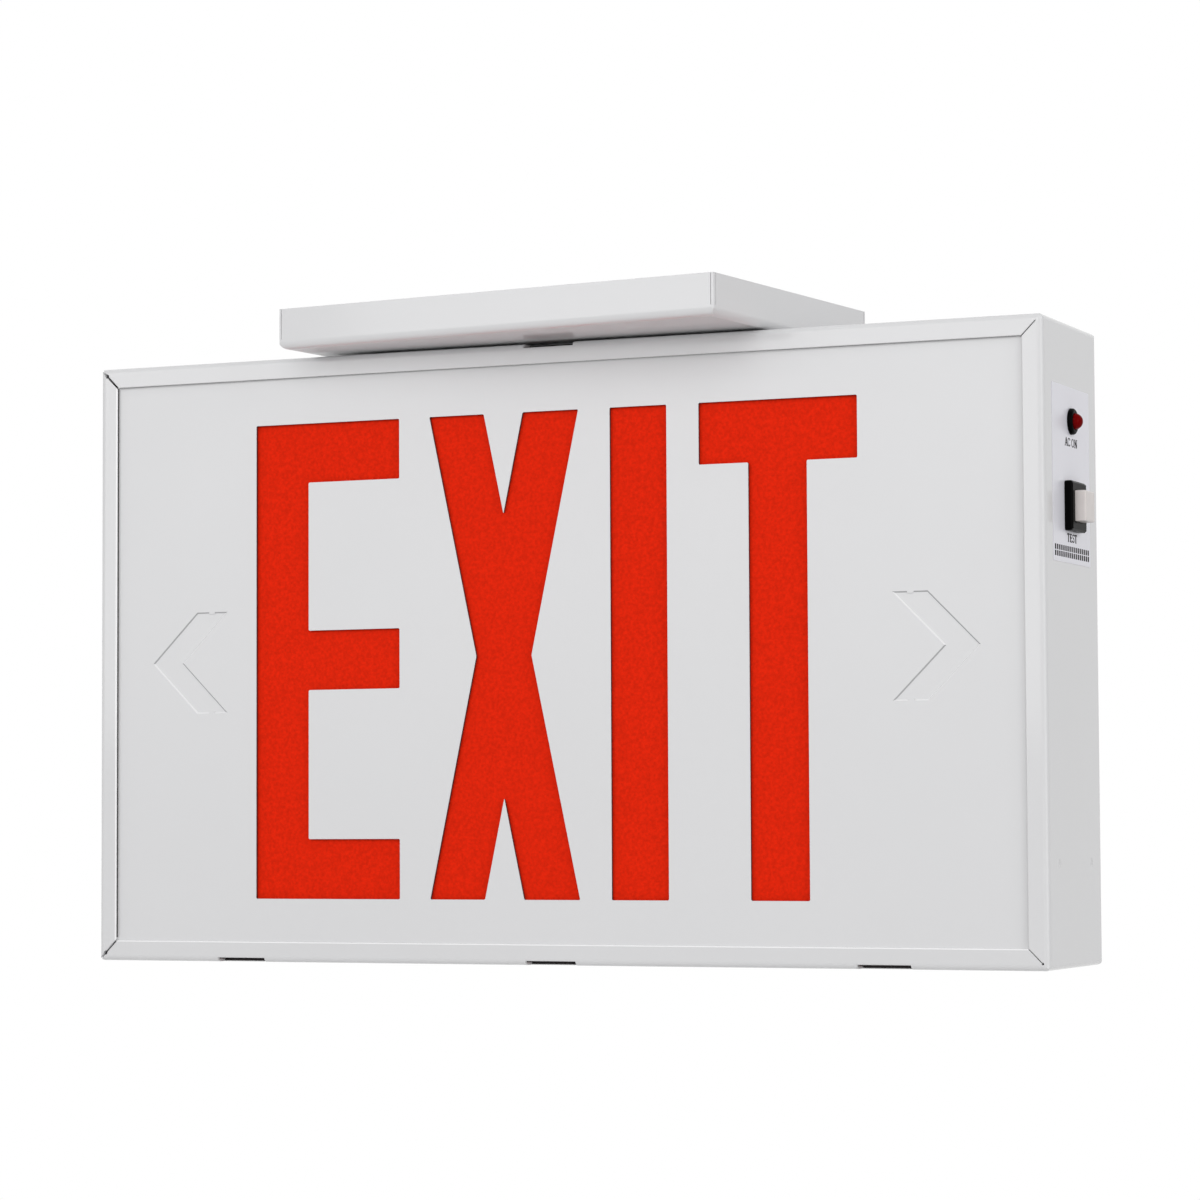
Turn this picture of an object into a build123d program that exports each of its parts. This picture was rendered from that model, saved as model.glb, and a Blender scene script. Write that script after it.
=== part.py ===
from build123d import *
import math
import os

# Emergency exit light, single faced, hung from a shallow canopy. Millimetres.
# The origin is the middle of the housing's bottom face. +X is to the right of a person who reads the sign,
# +Y goes into the sign, away from that person, and +Z is up.

# Housing: one sheet folded round the top, the right end and the bottom, and an end cap for the left end
housing_w = 322.6
housing_h = 194.0
housing_d = 55.5
sheet_t = 1.0
bend_r = 1.8
lip_w = 6.5
mitre_gap = 0.6
corner_relief_r = 0.65
corner_relief_inset = 2.45
lip_slit_w = 0.25
lip_slit_reach = 2.15
slit_end_r = 0.35

# Slots in the front bends, where the tabs of the face rails show
slot_w = 17.0
slot_pitch = 109.2
slot_shift = 0.7
slot_rise = 1.3
tab_side_gap = 0.5
tab_sink = 0.3

# Screws of the end cap, in tabs folded in from the top and bottom walls
cap_tab_w = 20.0
cap_tab_drop = 13.0
cap_tab_gap = 0.5
cap_screw_inset = 6.5
cap_screw_spare = 1.5

# Fasteners of 3 mm
screw_r = 1.5
screw_hole_r = 1.75
tapped_hole_r = 1.55
screw_head_r = 2.75
screw_head_h = 1.9
shank_sides = 8
cross_slot_w = 0.7
cross_slot_depth = 0.8
cross_slot_reach = 1.9

# Face plate, with the legend cut out of it
plate_t = 0.8
plate_clear = 1.2
plate_clip = 8.0
plate_shift = -0.4
legend_h = 152.4
stroke = 19.05
letter_gap = 10.7
legend_side = 58.3
letter_corner = 0.3
legend_drop = 0.6

# Chevron knock-outs, still in place but pushed back
chevron_side = 20.3
chevron_half_h = 16.2
chevron_w = 10.8
shear_push = 0.3
shoulder_w = 0.4
bridge_w = 2.0

# Red panel behind the legend
diffuser_t = 2.0
diffuser_gap = 0.35
diffuser_clear = 0.8

# Rails that hold the plates against the lips
rail_t = 0.8
rail_leg_h = 8.0
rail_leg_d = 12.0
rail_end_gap = 2.5

# Back plate
keyhole_spacing = 200.0
keyhole_below_top = 44.0
keyhole_head_r = 4.6
keyhole_slot_r = 2.3
keyhole_rise = 9.0
box_hole_spacing = 88.9
box_hole_r = 2.4
cable_knock_out_r = 11.1

# Reflector pan and its two light boards
pan_t = 0.8
pan_side = 11.3
pan_above = 14.0
pan_d = 14.5
pan_rim_w = 6.0
pan_corner_r = 4.0
light_board_side = 18.0
light_board_d = 8.0
light_board_t = 1.2
light_board_front = 3.0
led_count = 12
led_w = 3.5
led_d = 2.8
led_h = 1.0

# Circuit board, and its components' places from its lower left corner
board_gap = 4.0
board_w = 100.0
board_drop = 35.0
board_h = 76.0
board_t = 1.6
spacer_h = 6.0
spacer_across = 5.5
board_screw_spare = 0.5
board_hole_inset = 5.0
core_w = 30.0
core_h = 22.0
core_stack = 15.0
core_limb = 10.0
winding_clear = 0.2
winding_t = 4.6
winding_corner_r = 1.2
core_x = 26.0
core_z = 24.0
# Radius, height, and place in x and z of each capacitor
capacitor_sizes = [(5.0, 17.0, 60.0, 12.0), (4.0, 12.0, 74.0, 11.0), (3.2, 11.0, 62.0, 30.0)]
capacitor_edge = 0.7
heat_sink_w = 18.0
heat_sink_h = 20.0
heat_sink_d = 9.0
heat_sink_t = 1.5
heat_sink_x = 62.0
heat_sink_z = 54.0
regulator_w = 10.0
regulator_t = 4.5
regulator_low = 5.0
regulator_high = 14.5
regulator_tab_top = 18.5
regulator_tab_t = 1.3
leg_w = 0.8
leg_t = 0.6
leg_pitch = 2.54
leg_out = 2.0
terminal_pitch = 5.08
terminal_count = 3
terminal_h = 10.0
terminal_d = 10.0
terminal_x = 16.0
terminal_mouth_w = 2.8
terminal_mouth_y = 4.0
terminal_screw_r = 1.7
terminal_screw_z = 5.5
terminal_screw_sink = 2.0
header_w = 8.0
header_h = 42.0
header_d = 8.1
header_x = 93.0
header_z = 42.0
header_pitch = 8.0
header_edge = 0.6

# Battery and its bracket in the lower right corner
shelf_z = 20.0
bracket_t = 1.0
bracket_front = -5.5
shelf_side = 2.0
bracket_flange_h = 24.0
bracket_flange_d = 42.0
upright_h = 36.0
cell_r = 7.25
cell_l = 50.0
cell_count = 3
waist_depth = 0.9
waist_r = 3.0
pack_end_gap = 4.3
tie_w = 4.5
tie_t = 1.0
tie_corner_r = 7.0
tie_foot_r = 0.3
weld_dimple_r = 1.4
weld_dimple_depth = 0.35
weld_dimple_spacing = 33.2
weld_dimple_z = 31.4

# Right end: label, indicator and test button
panel_y = -0.4
label_t = 0.15
label_d = 38.2
label_h = 53.2
label_below_top = 19.6
indicator_below_top = 29.9
lamp_r = 2.5
lamp_clear = 0.05
lamp_sphere_out = 1.4
lamp_l = 6.4
lamp_flange_r = 2.9
lamp_flange_t = 1.0
lamp_pin_l = 6.0
lamp_pin_w = 0.5
lamp_pin_pitch = 2.54
bezel_ring_r = 4.0
bezel_ring_t = 1.5
bezel_ring_edge = 0.7
bezel_body_r = 3.1
bezel_body_l = 4.0
panel_hole_clear = 0.1
switch_below_top = 55.7
bezel_w = 15.0
bezel_t = 2.5
bezel_edge = 0.6
bezel_lip_t = 1.5
body_w = 13.4
body_l = 14.0
body_wall = 1.0
body_floor_t = 1.4
button_w = 9.2
button_clear = 0.2
button_proud = 3.3
button_edge_r = 0.5
button_flange_t = 1.5
button_travel = 2.5
peg_r = 1.6
peg_l = 6.95
bridge_l = 5.2
bridge_h = 2.0
bridge_t = 0.3
contact_gap = 0.3
blade_w = 2.8
blade_t = 0.5
blade_pitch = 4.0
blade_tail = 6.0
blade_clear = 0.05
spring_r = 3.6
spring_wire_r = 0.25
spring_turns = 5
spring_sides = 12
wire_sides = 6

# Leads, each a pair of cores in one sleeve
lead_r = 1.1
lead_sides = 6
lead_bend = 5.0
small_lead_bend = 3.0
lead_rise = 7.0
indicator_lead_rise = 11.0
upper_lead_rise = 10.0
lower_lead_rise = 12.0
lead_step = 18.0
battery_lead_drop = 6.0
battery_lead_side = 12.0
battery_lead_end = 9.0
switch_lead_lift = 18.0
indicator_lead_lift = 28.0
plug_lead_end = 10.0
sleeve_lead_end = 12.0
lead_hole_r = 3.0
plug_l = 10.0
plug_w = 6.4
plug_h = 4.4
sleeve_l = 6.0
sleeve_r = 2.2

# Stem, lock nuts and crossbar
stem_x = -2.5
stem_y = -0.6
stem_r = 6.6
stem_bore_r = 4.6
stem_below = 8.0
stem_clear = 0.15
stem_edge = 0.6
thread_clear = 0.05
nut_across = 19.0
nut_t = 3.0
washer_t = 0.4
washer_r = 11.0
crossbar_l = 96.0
crossbar_w = 19.0
crossbar_t = 1.6
crossbar_drop = 0.7
crossbar_slot_spacing = 76.0
crossbar_slot_l = 14.0
crossbar_slot_r = 2.3
crossbar_corner = 2.0
stem_drop = 0.5
ground_screw_x = 16.0
ground_screw_r = 2.0
ground_head_r = 3.8
ground_head_h = 2.4
ground_screw_l = 6.0

# Canopy, which turns on the stem and stands a few degrees off square
canopy_w = 156.4
canopy_d = 104.0
canopy_h = 12.8
canopy_t = 1.0
canopy_bend_r = 2.5
canopy_corner_r = 0.5
canopy_turn = -6.0
canopy_gap = 0.3
canopy_hole_clear = 0.08
seam_w = 0.25
seam_depth = 0.35
seam_front = 0.8
seam_side = 1.3
seam_foot = 0.6

# Places worked out from the sizes above
half_w = housing_w / 2
half_d = housing_d / 2
legend_z = housing_h / 2 - legend_drop
legend_w = housing_w - 2 * legend_side
letter_w = (legend_w - stroke - 3 * letter_gap) / 3
chevron_reach = half_w - chevron_side
mitre_shift = mitre_gap / math.sqrt(2)
slot_places = [slot_shift + place * slot_pitch for place in (-1, 0, 1)]
plate_front = -half_d + sheet_t
plate_back = plate_front + plate_t
diffuser_front = plate_back + diffuser_gap
diffuser_back = diffuser_front + diffuser_t
face_rail_back = diffuser_back + rail_t
back_plate_back = half_d - sheet_t
back_plate_front = back_plate_back - plate_t
keyhole_z = housing_h - keyhole_below_top
pan_rim_front = face_rail_back
pan_floor_back = pan_rim_front + pan_d + pan_t
pan_floor_front = pan_floor_back - pan_t
pan_w = housing_w - 2 * pan_side
pan_z0 = pan_above
pan_z1 = housing_h - pan_above
light_board_w = pan_w - 2 * light_board_side
led_pitch = light_board_w / led_count
upper_lead_x = led_count // 4 * led_pitch
lower_lead_x = led_count // 3 * led_pitch
board_back = pan_floor_back + spacer_h
board_face = board_back + board_t
header_top = board_face + header_d
label_top = housing_h - label_below_top
indicator_z = housing_h - indicator_below_top
switch_z = housing_h - switch_below_top
label_face = half_w + label_t
bezel_face = label_face + bezel_t
lip_back = bezel_face - bezel_lip_t
cavity_w = body_w - 2 * body_wall
body_back = half_w - body_l
cavity_back = body_back + body_floor_t
flange_front = lip_back - button_clear
flange_back = flange_front - button_flange_t
bridge_back = flange_back - peg_l - bridge_t
blade_front = bridge_back - button_travel - contact_gap
blade_back = body_back - blade_tail
canopy_z = housing_h + washer_t + canopy_gap
canopy_top = canopy_z + canopy_h
stem_top = canopy_top - stem_drop
stem_bottom = housing_h - sheet_t - stem_below
crossbar_top = canopy_top - crossbar_drop
crossbar_z = crossbar_top - crossbar_t
battery_z = shelf_z + bracket_t
battery_y = bracket_front + bracket_t + cell_r
battery_h = 2 * cell_r * cell_count
battery_x1 = half_w - sheet_t - pack_end_gap
battery_x0 = battery_x1 - cell_l
tie_x = (battery_x0 + battery_x1) / 2
shelf_left = battery_x0 - shelf_side
board_left = shelf_left - board_gap - board_w
board_bottom = housing_h / 2 - board_drop

REST_LOW = (Align.CENTER, Align.CENTER, Align.MIN)


def block(x0, x1, y0, y1, z0, z1):
    """Box between two opposite corners."""
    centre = Pos((x0 + x1) / 2, (y0 + y1) / 2, (z0 + z1) / 2)
    return centre * Box(abs(x1 - x0), abs(y1 - y0), abs(z1 - z0))


def rod(radius, length, start, axis):
    """Round bar of the given length from start along axis."""
    return Plane(start, z_dir=axis).location * Cylinder(radius, length, align=REST_LOW)


def flat_sided_rod(radius, length, start, axis):
    """Bar like rod, with flats at the radius, for the holes of small screws."""
    section = RegularPolygon(radius, shank_sides, major_radius=False)
    return extrude(Plane(start, z_dir=axis).location * section, length)


def upright(sketch, y0, y1):
    """Sketch drawn in x and z, given thickness from y0 to y1."""
    plane = Plane((0, y1, 0), x_dir=(1, 0, 0), z_dir=(0, -1, 0))
    return extrude(plane.location * sketch, y1 - y0)


def rectangle(x0, x1, z0, z1):
    """Rectangle between two corners, in the sketch's own x and z."""
    return Pos((x0 + x1) / 2, (z0 + z1) / 2) * Rectangle(x1 - x0, z1 - z0)


def flipped(shape):
    """Upper piece mirrored to the lower half of the housing."""
    return mirror(shape, about=Plane.XY.offset(housing_h / 2))


def group(solids):
    """Like pieces kept as separate solids of one node."""
    return Compound([solid for shape in solids for solid in shape.solids()])


def headed_screw(head, length, start, axis):
    """Screw with a head of the given outline standing on start, and its shank going along axis."""
    place = Plane(start, z_dir=axis).location
    shank = extrude(place * RegularPolygon(screw_r, shank_sides), length)
    return extrude(place * head, -screw_head_h) + shank


# Housing and end cap


def folded(solid, bends):
    """Block with bends that meet in mitres: each set of edges is rounded by itself, at its own radius."""
    shape = solid
    for edges, radius in bends:
        shape &= fillet(edges, radius)
    return shape


def frame_shell():
    """Closed ring of walls and lips, before it is parted into housing and end cap."""
    axes = (Axis.X, Axis.Y, Axis.Z)
    outer = block(-half_w, half_w, -half_d, half_d, 0, housing_h)
    outer = folded(outer, [(outer.edges().filter_by(axis), bend_r) for axis in axes])
    t = sheet_t
    inner = block(-half_w + t, half_w - t, -half_d + t, half_d - t, t, housing_h - t)
    inner = folded(inner, [(inner.edges().filter_by(axis), bend_r - t) for axis in axes])
    window = block(-half_w + lip_w, half_w - lip_w, -housing_d, housing_d, lip_w, housing_h - lip_w)
    return outer - inner - window


def left_wedge(shift):
    """Prism to the left of the two 45 degree mitre planes, moved right by shift."""
    left = -half_w - housing_h / 2 + shift
    apex = -half_w + housing_h / 2 + shift
    low = -housing_h / 2
    high = housing_h * 1.5
    outline = make_face(Polyline((left, low), (apex, housing_h / 2), (left, high), close=True))
    return upright(outline, -housing_d, housing_d)


def corner_reliefs():
    """Small round holes near the outer ends of the four mitres."""
    x = -half_w + corner_relief_inset
    heights = (corner_relief_inset, housing_h - corner_relief_inset)
    places = [(x, y, z) for z in heights for y in (-half_d - sheet_t, half_d - sheet_t)]
    return [rod(corner_relief_r, 2 * sheet_t, place, (0, 1, 0)) for place in places]


def lip_slits():
    """Slits where the lips meet at the right corners, and the small hole at the lower one's outer end."""
    inner = lip_w + lip_slit_w
    outer = lip_slit_reach
    middle = (inner + outer) / 2
    length = (inner - outer) * math.sqrt(2)
    cuts = []
    for z, lean in ((middle, 45), (housing_h - middle, -45)):
        slit = Pos(half_w - middle, 0, z) * Rot(Y=lean) * Box(length, 2 * housing_d, lip_slit_w)
        cuts.append(slit)
    end = rod(slit_end_r, 2 * housing_d, (half_w - outer, -housing_d, outer), (0, 1, 0))
    return cuts + [end]


def bend_slot(x, top):
    """Slot through the front bend of the top or bottom wall, centred on x."""
    depth = face_rail_back + tab_side_gap
    z0 = housing_h - slot_rise if top else -slot_rise
    z1 = housing_h + slot_rise if top else slot_rise
    return block(x - slot_w / 2, x + slot_w / 2, -half_d - slot_rise, depth, z0, z1)


def weld_dimples():
    """Balls whose caps leave the two weld dimples in the right wall."""
    ball_r = (weld_dimple_r**2 + weld_dimple_depth**2) / (2 * weld_dimple_depth)
    x = half_w + ball_r - weld_dimple_depth
    side = weld_dimple_spacing / 2
    return [Pos(x, y, weld_dimple_z) * Sphere(ball_r) for y in (-side, side)]


def cap_tab():
    """Tab folded down from the top wall for the end cap's upper screw."""
    x0 = -half_w + sheet_t + cap_tab_gap
    top = housing_h - sheet_t / 2
    tab = block(x0, x0 + sheet_t, -cap_tab_w / 2, cap_tab_w / 2, housing_h - sheet_t - cap_tab_drop, top)
    hole_z = housing_h - sheet_t - cap_screw_inset
    return tab - flat_sided_rod(tapped_hole_r, 3 * sheet_t, (x0 - sheet_t, 0, hole_z), (1, 0, 0))


def make_housing():
    shape = frame_shell() - left_wedge(mitre_shift)
    tab = cap_tab()
    shape = shape + tab + flipped(tab)
    for cut in corner_reliefs() + lip_slits():
        shape -= cut
    for x in slot_places:
        shape -= bend_slot(x, top=False)
    shape -= bend_slot(slot_shift, top=True)
    shape -= rod(stem_r + stem_clear, 4 * sheet_t, (stem_x, stem_y, housing_h - 2 * sheet_t), (0, 0, 1))
    wall = (half_w - 2 * sheet_t, panel_y)
    shape -= rod(bezel_body_r + panel_hole_clear, 4 * sheet_t, (*wall, indicator_z), (1, 0, 0))
    side = body_w / 2 + panel_hole_clear
    shape -= square_bar(wall[0], half_w + sheet_t, 2 * side)
    for ball in weld_dimples():
        shape -= ball
    return shape


def make_end_cap():
    shape = frame_shell() & left_wedge(-mitre_shift)
    for pin in corner_reliefs():
        shape -= pin
    inset = sheet_t + cap_screw_inset
    for z in (inset, housing_h - inset):
        shape -= flat_sided_rod(screw_hole_r, 4 * sheet_t, (-half_w - sheet_t, 0, z), (1, 0, 0))
    return shape


def make_end_cap_screws():
    inset = sheet_t + cap_screw_inset
    length = 2 * sheet_t + cap_tab_gap + cap_screw_spare
    screws = []
    for z in (inset, housing_h - inset):
        screw = headed_screw(Circle(screw_head_r), length, (-half_w, 0, z), (1, 0, 0))
        face = -half_w - screw_head_h
        half_slot = cross_slot_w / 2
        for dy, dz in ((cross_slot_reach, half_slot), (half_slot, cross_slot_reach)):
            screw -= block(face - 1, face + cross_slot_depth, -dy, dy, z - dz, z + dz)
        screws.append(screw)
    return group(screws)


# Face plate, diffuser and rails


def sheared(sheet, outline, bridges, front, inward):
    """Sheet with a knock-out sheared half through and pushed along y: sloping shoulders round a sunk floor,
    the slug standing out behind, and two bridges at the sheet's own level."""
    step = shear_push * inward
    mouth = offset(outline, shoulder_w / 2, kind=Kind.INTERSECTION)
    floor = offset(outline, -shoulder_w / 2, kind=Kind.INTERSECTION)
    planes = [Plane((0, y, 0), x_dir=(1, 0, 0), z_dir=(0, -1, 0)) for y in (front, front + step)]
    pocket = loft([planes[0].location * mouth.face(), planes[1].location * floor.face()])
    back = front + plate_t * inward
    shape = sheet - pocket + upright(outline, min(back, back + step), max(back, back + step))
    reach = shoulder_w
    for x, z in bridges:
        shape += block(x - bridge_w / 2, x + bridge_w / 2, front, front + step, z - reach, z + reach)
    return shape


def legend():
    """The four letters, in plain block form, centred on the sketch's origin."""
    half_h = legend_h / 2
    half_s = stroke / 2

    left = -legend_w / 2
    letter_e = rectangle(left, left + stroke, -half_h, half_h)
    for z in (-half_h + half_s, 0, half_h - half_s):
        letter_e += rectangle(left, left + letter_w, z - half_s, z + half_s)

    centre = left + letter_w + letter_gap + letter_w / 2
    lean = letter_w / 2 - half_s
    letter_x = None
    for side in (-1, 1):
        corners = [
            (centre - side * lean - half_s, half_h),
            (centre - side * lean + half_s, half_h),
            (centre + side * lean + half_s, -half_h),
            (centre + side * lean - half_s, -half_h),
        ]
        bar = make_face(Polyline(*corners, close=True))
        letter_x = bar if letter_x is None else letter_x + bar

    left = centre + letter_w / 2 + letter_gap
    letter_i = rectangle(left, left + stroke, -half_h, half_h)

    left = left + stroke + letter_gap
    stem = left + letter_w / 2
    letter_t = rectangle(left, left + letter_w, half_h - stroke, half_h)
    letter_t += rectangle(stem - half_s, stem + half_s, -half_h, half_h)

    letters = (letter_e, letter_x, letter_i, letter_t)
    return [chamfer(letter.vertices(), letter_corner) for letter in letters]


def chevron(side):
    """Arrow head that points to the right for side 1 and to the left for side -1."""
    tip, h, w = chevron_reach, chevron_half_h, chevron_w
    corners = [(tip, 0), (tip - h, h), (tip - h - w, h), (tip - w, 0), (tip - h - w, -h), (tip - h, -h)]
    outline = make_face(Polyline(*[(side * x, legend_z + z) for x, z in corners], close=True))
    middle = side * (tip - h - w / 2)
    return outline, [(middle, legend_z + h), (middle, legend_z - h)]


def plate_outline(clear):
    """Plate with clipped corners, so that nothing stands behind the mitres of the lips."""
    side = half_w - sheet_t - clear
    outline = rectangle(-side, side, sheet_t + clear, housing_h - sheet_t - clear)
    return chamfer(outline.vertices(), plate_clip)


def make_face_plate():
    plate = upright(plate_outline(plate_clear), plate_front, plate_back)
    for letter in legend():
        plate -= upright(Pos(0, legend_z) * letter, plate_front - plate_t, plate_back + plate_t)
    for side in (-1, 1):
        outline, bridges = chevron(side)
        plate = sheared(plate, outline, bridges, plate_front, 1)
    return Pos(X=plate_shift) * plate


def make_red_diffuser():
    return upright(plate_outline(plate_clear + diffuser_clear), diffuser_front, diffuser_back)


def angle_rail(leg_y0, leg_y1, foot_y0, foot_y1, tab_places):
    """Angle rail under the top wall, with tabs that rise into the slots of the bend."""
    left = -half_w + sheet_t + rail_end_gap
    right = half_w - sheet_t - rail_end_gap
    top = housing_h - sheet_t
    rail = block(left, right, leg_y0, leg_y1, top - rail_leg_h, top)
    rail += block(left, right, foot_y0, foot_y1, top - rail_t, top)
    for x in tab_places:
        half = slot_w / 2 - tab_side_gap
        rail += block(x - half, x + half, leg_y0, leg_y1, top - rail_t, housing_h - tab_sink)
    return rail


def face_rail(tab_places):
    return angle_rail(diffuser_back, face_rail_back, diffuser_back, diffuser_back + rail_leg_d, tab_places)


def back_rail():
    front = back_plate_front
    return angle_rail(front - rail_t, front, front - rail_leg_d, front, [])


def make_back_plate():
    plate = upright(plate_outline(plate_clear), back_plate_front, back_plate_back)
    for side in (-1, 1):
        x = side * keyhole_spacing / 2
        keyhole = Pos(x, keyhole_z) * Circle(keyhole_head_r)
        keyhole += rectangle(x - keyhole_slot_r, x + keyhole_slot_r, keyhole_z, keyhole_z + keyhole_rise)
        keyhole += Pos(x, keyhole_z + keyhole_rise) * Circle(keyhole_slot_r)
        plate -= upright(keyhole, back_plate_front - plate_t, back_plate_back + plate_t)
        hole = Pos(side * box_hole_spacing / 2, housing_h / 2) * Circle(box_hole_r)
        plate -= upright(hole, back_plate_front - plate_t, back_plate_back + plate_t)
    centre = housing_h / 2
    disc = Pos(0, centre) * Circle(cable_knock_out_r)
    bridges = [(0, centre + cable_knock_out_r), (0, centre - cable_knock_out_r)]
    return sheared(plate, disc, bridges, back_plate_back, -1)


# Light box


def board_holes():
    """Places of the circuit board's four screws, in x and z."""
    xs = (board_left + board_hole_inset, board_left + board_w - board_hole_inset)
    zs = (board_bottom + board_hole_inset, board_bottom + board_h - board_hole_inset)
    return [(x, z) for x in xs for z in zs]


def light_lead_places():
    """Places in x and z where the leads of the light boards pass through the pan's floor."""
    inset = 2 * lead_bend + lead_r
    return [(upper_lead_x, pan_z1 - inset), (lower_lead_x, pan_z0 + inset)]


def make_reflector_pan():
    half = pan_w / 2
    mouth = rectangle(-half, half, pan_z0, pan_z1)
    mouth = fillet(mouth.vertices(), pan_corner_r)
    skin = offset(mouth, pan_t)
    rim = rectangle(-half - pan_rim_w, half + pan_rim_w, pan_z0 - pan_rim_w, pan_z1 + pan_rim_w)
    pan = upright(skin, pan_rim_front, pan_floor_back) + upright(rim, pan_rim_front, pan_rim_front + pan_t)
    pan -= upright(mouth, pan_rim_front - pan_t, pan_floor_front)
    for x, z in light_lead_places():
        pan -= rod(lead_hole_r, 4 * pan_t, (x, pan_floor_front - pan_t, z), (0, 1, 0))
    return pan


def light_board_y():
    front = pan_rim_front + light_board_front
    return front, front + light_board_d


def make_light_board():
    y0, y1 = light_board_y()
    return block(-light_board_w / 2, light_board_w / 2, y0, y1, pan_z1 - light_board_t, pan_z1)


def make_leds():
    y0, y1 = light_board_y()
    middle = (y0 + y1) / 2
    top = pan_z1 - light_board_t
    leds = []
    for index in range(led_count):
        x = (index - (led_count - 1) / 2) * led_pitch
        leds.append(
            block(x - led_w / 2, x + led_w / 2, middle - led_d / 2, middle + led_d / 2, top - led_h, top)
        )
    return group(leds)


# Circuit board and its components


def on_board(x, z):
    """Place on the board's face, x and z from its lower left corner."""
    return Pos(board_left + x, board_face, board_bottom + z)


def make_circuit_board():
    outline = rectangle(board_left, board_left + board_w, board_bottom, board_bottom + board_h)
    board = upright(outline, board_back, board_face)
    for x, z in board_holes():
        board -= flat_sided_rod(screw_hole_r, 3 * board_t, (x, board_back - board_t, z), (0, 1, 0))
    return board


def make_board_spacers():
    """Hexagonal posts between the pan and the circuit board."""
    bore = RegularPolygon(tapped_hole_r, shank_sides, major_radius=False)
    section = RegularPolygon(spacer_across / 2, 6, major_radius=False) - bore
    return group([upright(Pos(x, z) * section, pan_floor_back, board_back) for x, z in board_holes()])


def make_board_screws():
    length = board_t + spacer_h - board_screw_spare
    head = RegularPolygon(screw_head_r, 6)
    return group([headed_screw(head, length, (x, board_face, z), (0, -1, 0)) for x, z in board_holes()])


def make_transformer_core():
    """Laminated core with a middle limb and two windows."""
    outer = core_limb / 2
    core = block(-core_w / 2, core_w / 2, 0, core_h, -core_stack / 2, core_stack / 2)
    for side in (-1, 1):
        near = side * core_limb / 2
        far = side * (core_w / 2 - outer)
        core -= block(near, far, outer, core_h - outer, -core_stack, core_stack)
    return on_board(core_x, core_z) * core


def make_transformer_winding():
    """Wound coil round the middle limb, between the yokes."""
    outer = core_limb / 2
    inner_x = core_limb / 2 + winding_clear
    inner_z = core_stack / 2 + winding_clear
    low = outer + winding_clear
    high = core_h - outer - winding_clear
    outer_x = inner_x + winding_t
    outer_z = inner_z + winding_t
    coil = block(-outer_x, outer_x, low, high, -outer_z, outer_z)
    coil = fillet(coil.edges().filter_by(Axis.Y), winding_corner_r)
    coil -= block(-inner_x, inner_x, low, high, -inner_z, inner_z)
    return on_board(core_x, core_z) * coil


def make_capacitors():
    cans = []
    for radius, height, x, z in capacitor_sizes:
        can = on_board(x, z) * rod(radius, height, (0, 0, 0), (0, 1, 0))
        top = can.edges().filter_by(GeomType.CIRCLE).group_by(Axis.Y)[-1]
        cans.append(chamfer(top, capacitor_edge))
    return group(cans)


def make_heat_sink():
    """U-shaped aluminium heat sink, open towards the regulator."""
    half = heat_sink_w / 2
    outer = block(-half, half, 0, heat_sink_h, 0, heat_sink_d)
    side = half - heat_sink_t
    inner = block(-side, side, -1, heat_sink_h + 1, heat_sink_t, heat_sink_d + 1)
    return on_board(heat_sink_x, heat_sink_z) * (outer - inner)


def make_regulator():
    """Power transistor flat against the heat sink's back, with its three legs in the board."""
    half = regulator_w / 2
    shape = block(-half, half, regulator_low, regulator_high, 0, regulator_t)
    shape += block(-half, half, regulator_high, regulator_tab_top, 0, regulator_tab_t)
    for place in (-1, 0, 1):
        x = place * leg_pitch
        shape += block(x - leg_w / 2, x + leg_w / 2, 0, regulator_low, leg_out, leg_out + leg_t)
    return on_board(heat_sink_x, heat_sink_z + heat_sink_t) * shape


def make_supply_terminals():
    """Screw terminal block for the supply wires, at the board's upper left corner."""
    width = terminal_pitch * terminal_count
    top = board_h - board_hole_inset / 2
    half = terminal_mouth_w / 2
    shape = block(terminal_x, terminal_x + width, 0, terminal_d, top - terminal_h, top)
    for index in range(terminal_count):
        x = terminal_x + (index + 0.5) * terminal_pitch
        y0, y1 = terminal_mouth_y - half, terminal_mouth_y + half
        shape -= block(x - half, x + half, y0, y1, top - terminal_h / 2, top)
        screw_at = (x, terminal_d - terminal_screw_sink, top - terminal_screw_z)
        shape -= rod(terminal_screw_r, terminal_screw_sink, screw_at, (0, 1, 0))
    return on_board(0, 0) * shape


def make_lead_header():
    side, rise = header_w / 2, header_h / 2
    shape = block(-side, side, 0, header_d, -rise, rise)
    shape = chamfer(shape.edges().group_by(Axis.Y)[-1], header_edge)
    return on_board(header_x, header_z) * shape


# Battery


def make_battery_bracket():
    """Shelf, upright and wall flange, folded from one sheet and spot welded to the right wall."""
    right = half_w - sheet_t
    shelf_back = battery_y + cell_r
    shelf = block(shelf_left, right, bracket_front, shelf_back, shelf_z, shelf_z + bracket_t)
    front_back = bracket_front + bracket_t
    front = block(shelf_left, battery_x1, bracket_front, front_back, shelf_z, shelf_z + upright_h)
    half = bracket_flange_d / 2
    flange = block(right - bracket_t, right, -half, half, shelf_z, shelf_z + bracket_flange_h)
    return shelf + front + flange


def make_battery_pack():
    """Three cells side by side in one shrunk sleeve, with a shallow waist between the cells."""
    outline = Pos(battery_y, battery_z + battery_h / 2) * Rot(0, 0, 90) * SlotOverall(battery_h, 2 * cell_r)
    plane = Plane((battery_x0, 0, 0), x_dir=(0, 1, 0), z_dir=(1, 0, 0))
    pack = extrude(plane.location * outline, cell_l)
    for index in range(1, cell_count):
        z = battery_z + 2 * cell_r * index
        for side in (-1, 1):
            y = battery_y + side * (cell_r + waist_r - waist_depth)
            pack -= rod(waist_r, cell_l, (battery_x0, y, z), (1, 0, 0))
    return pack


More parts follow.
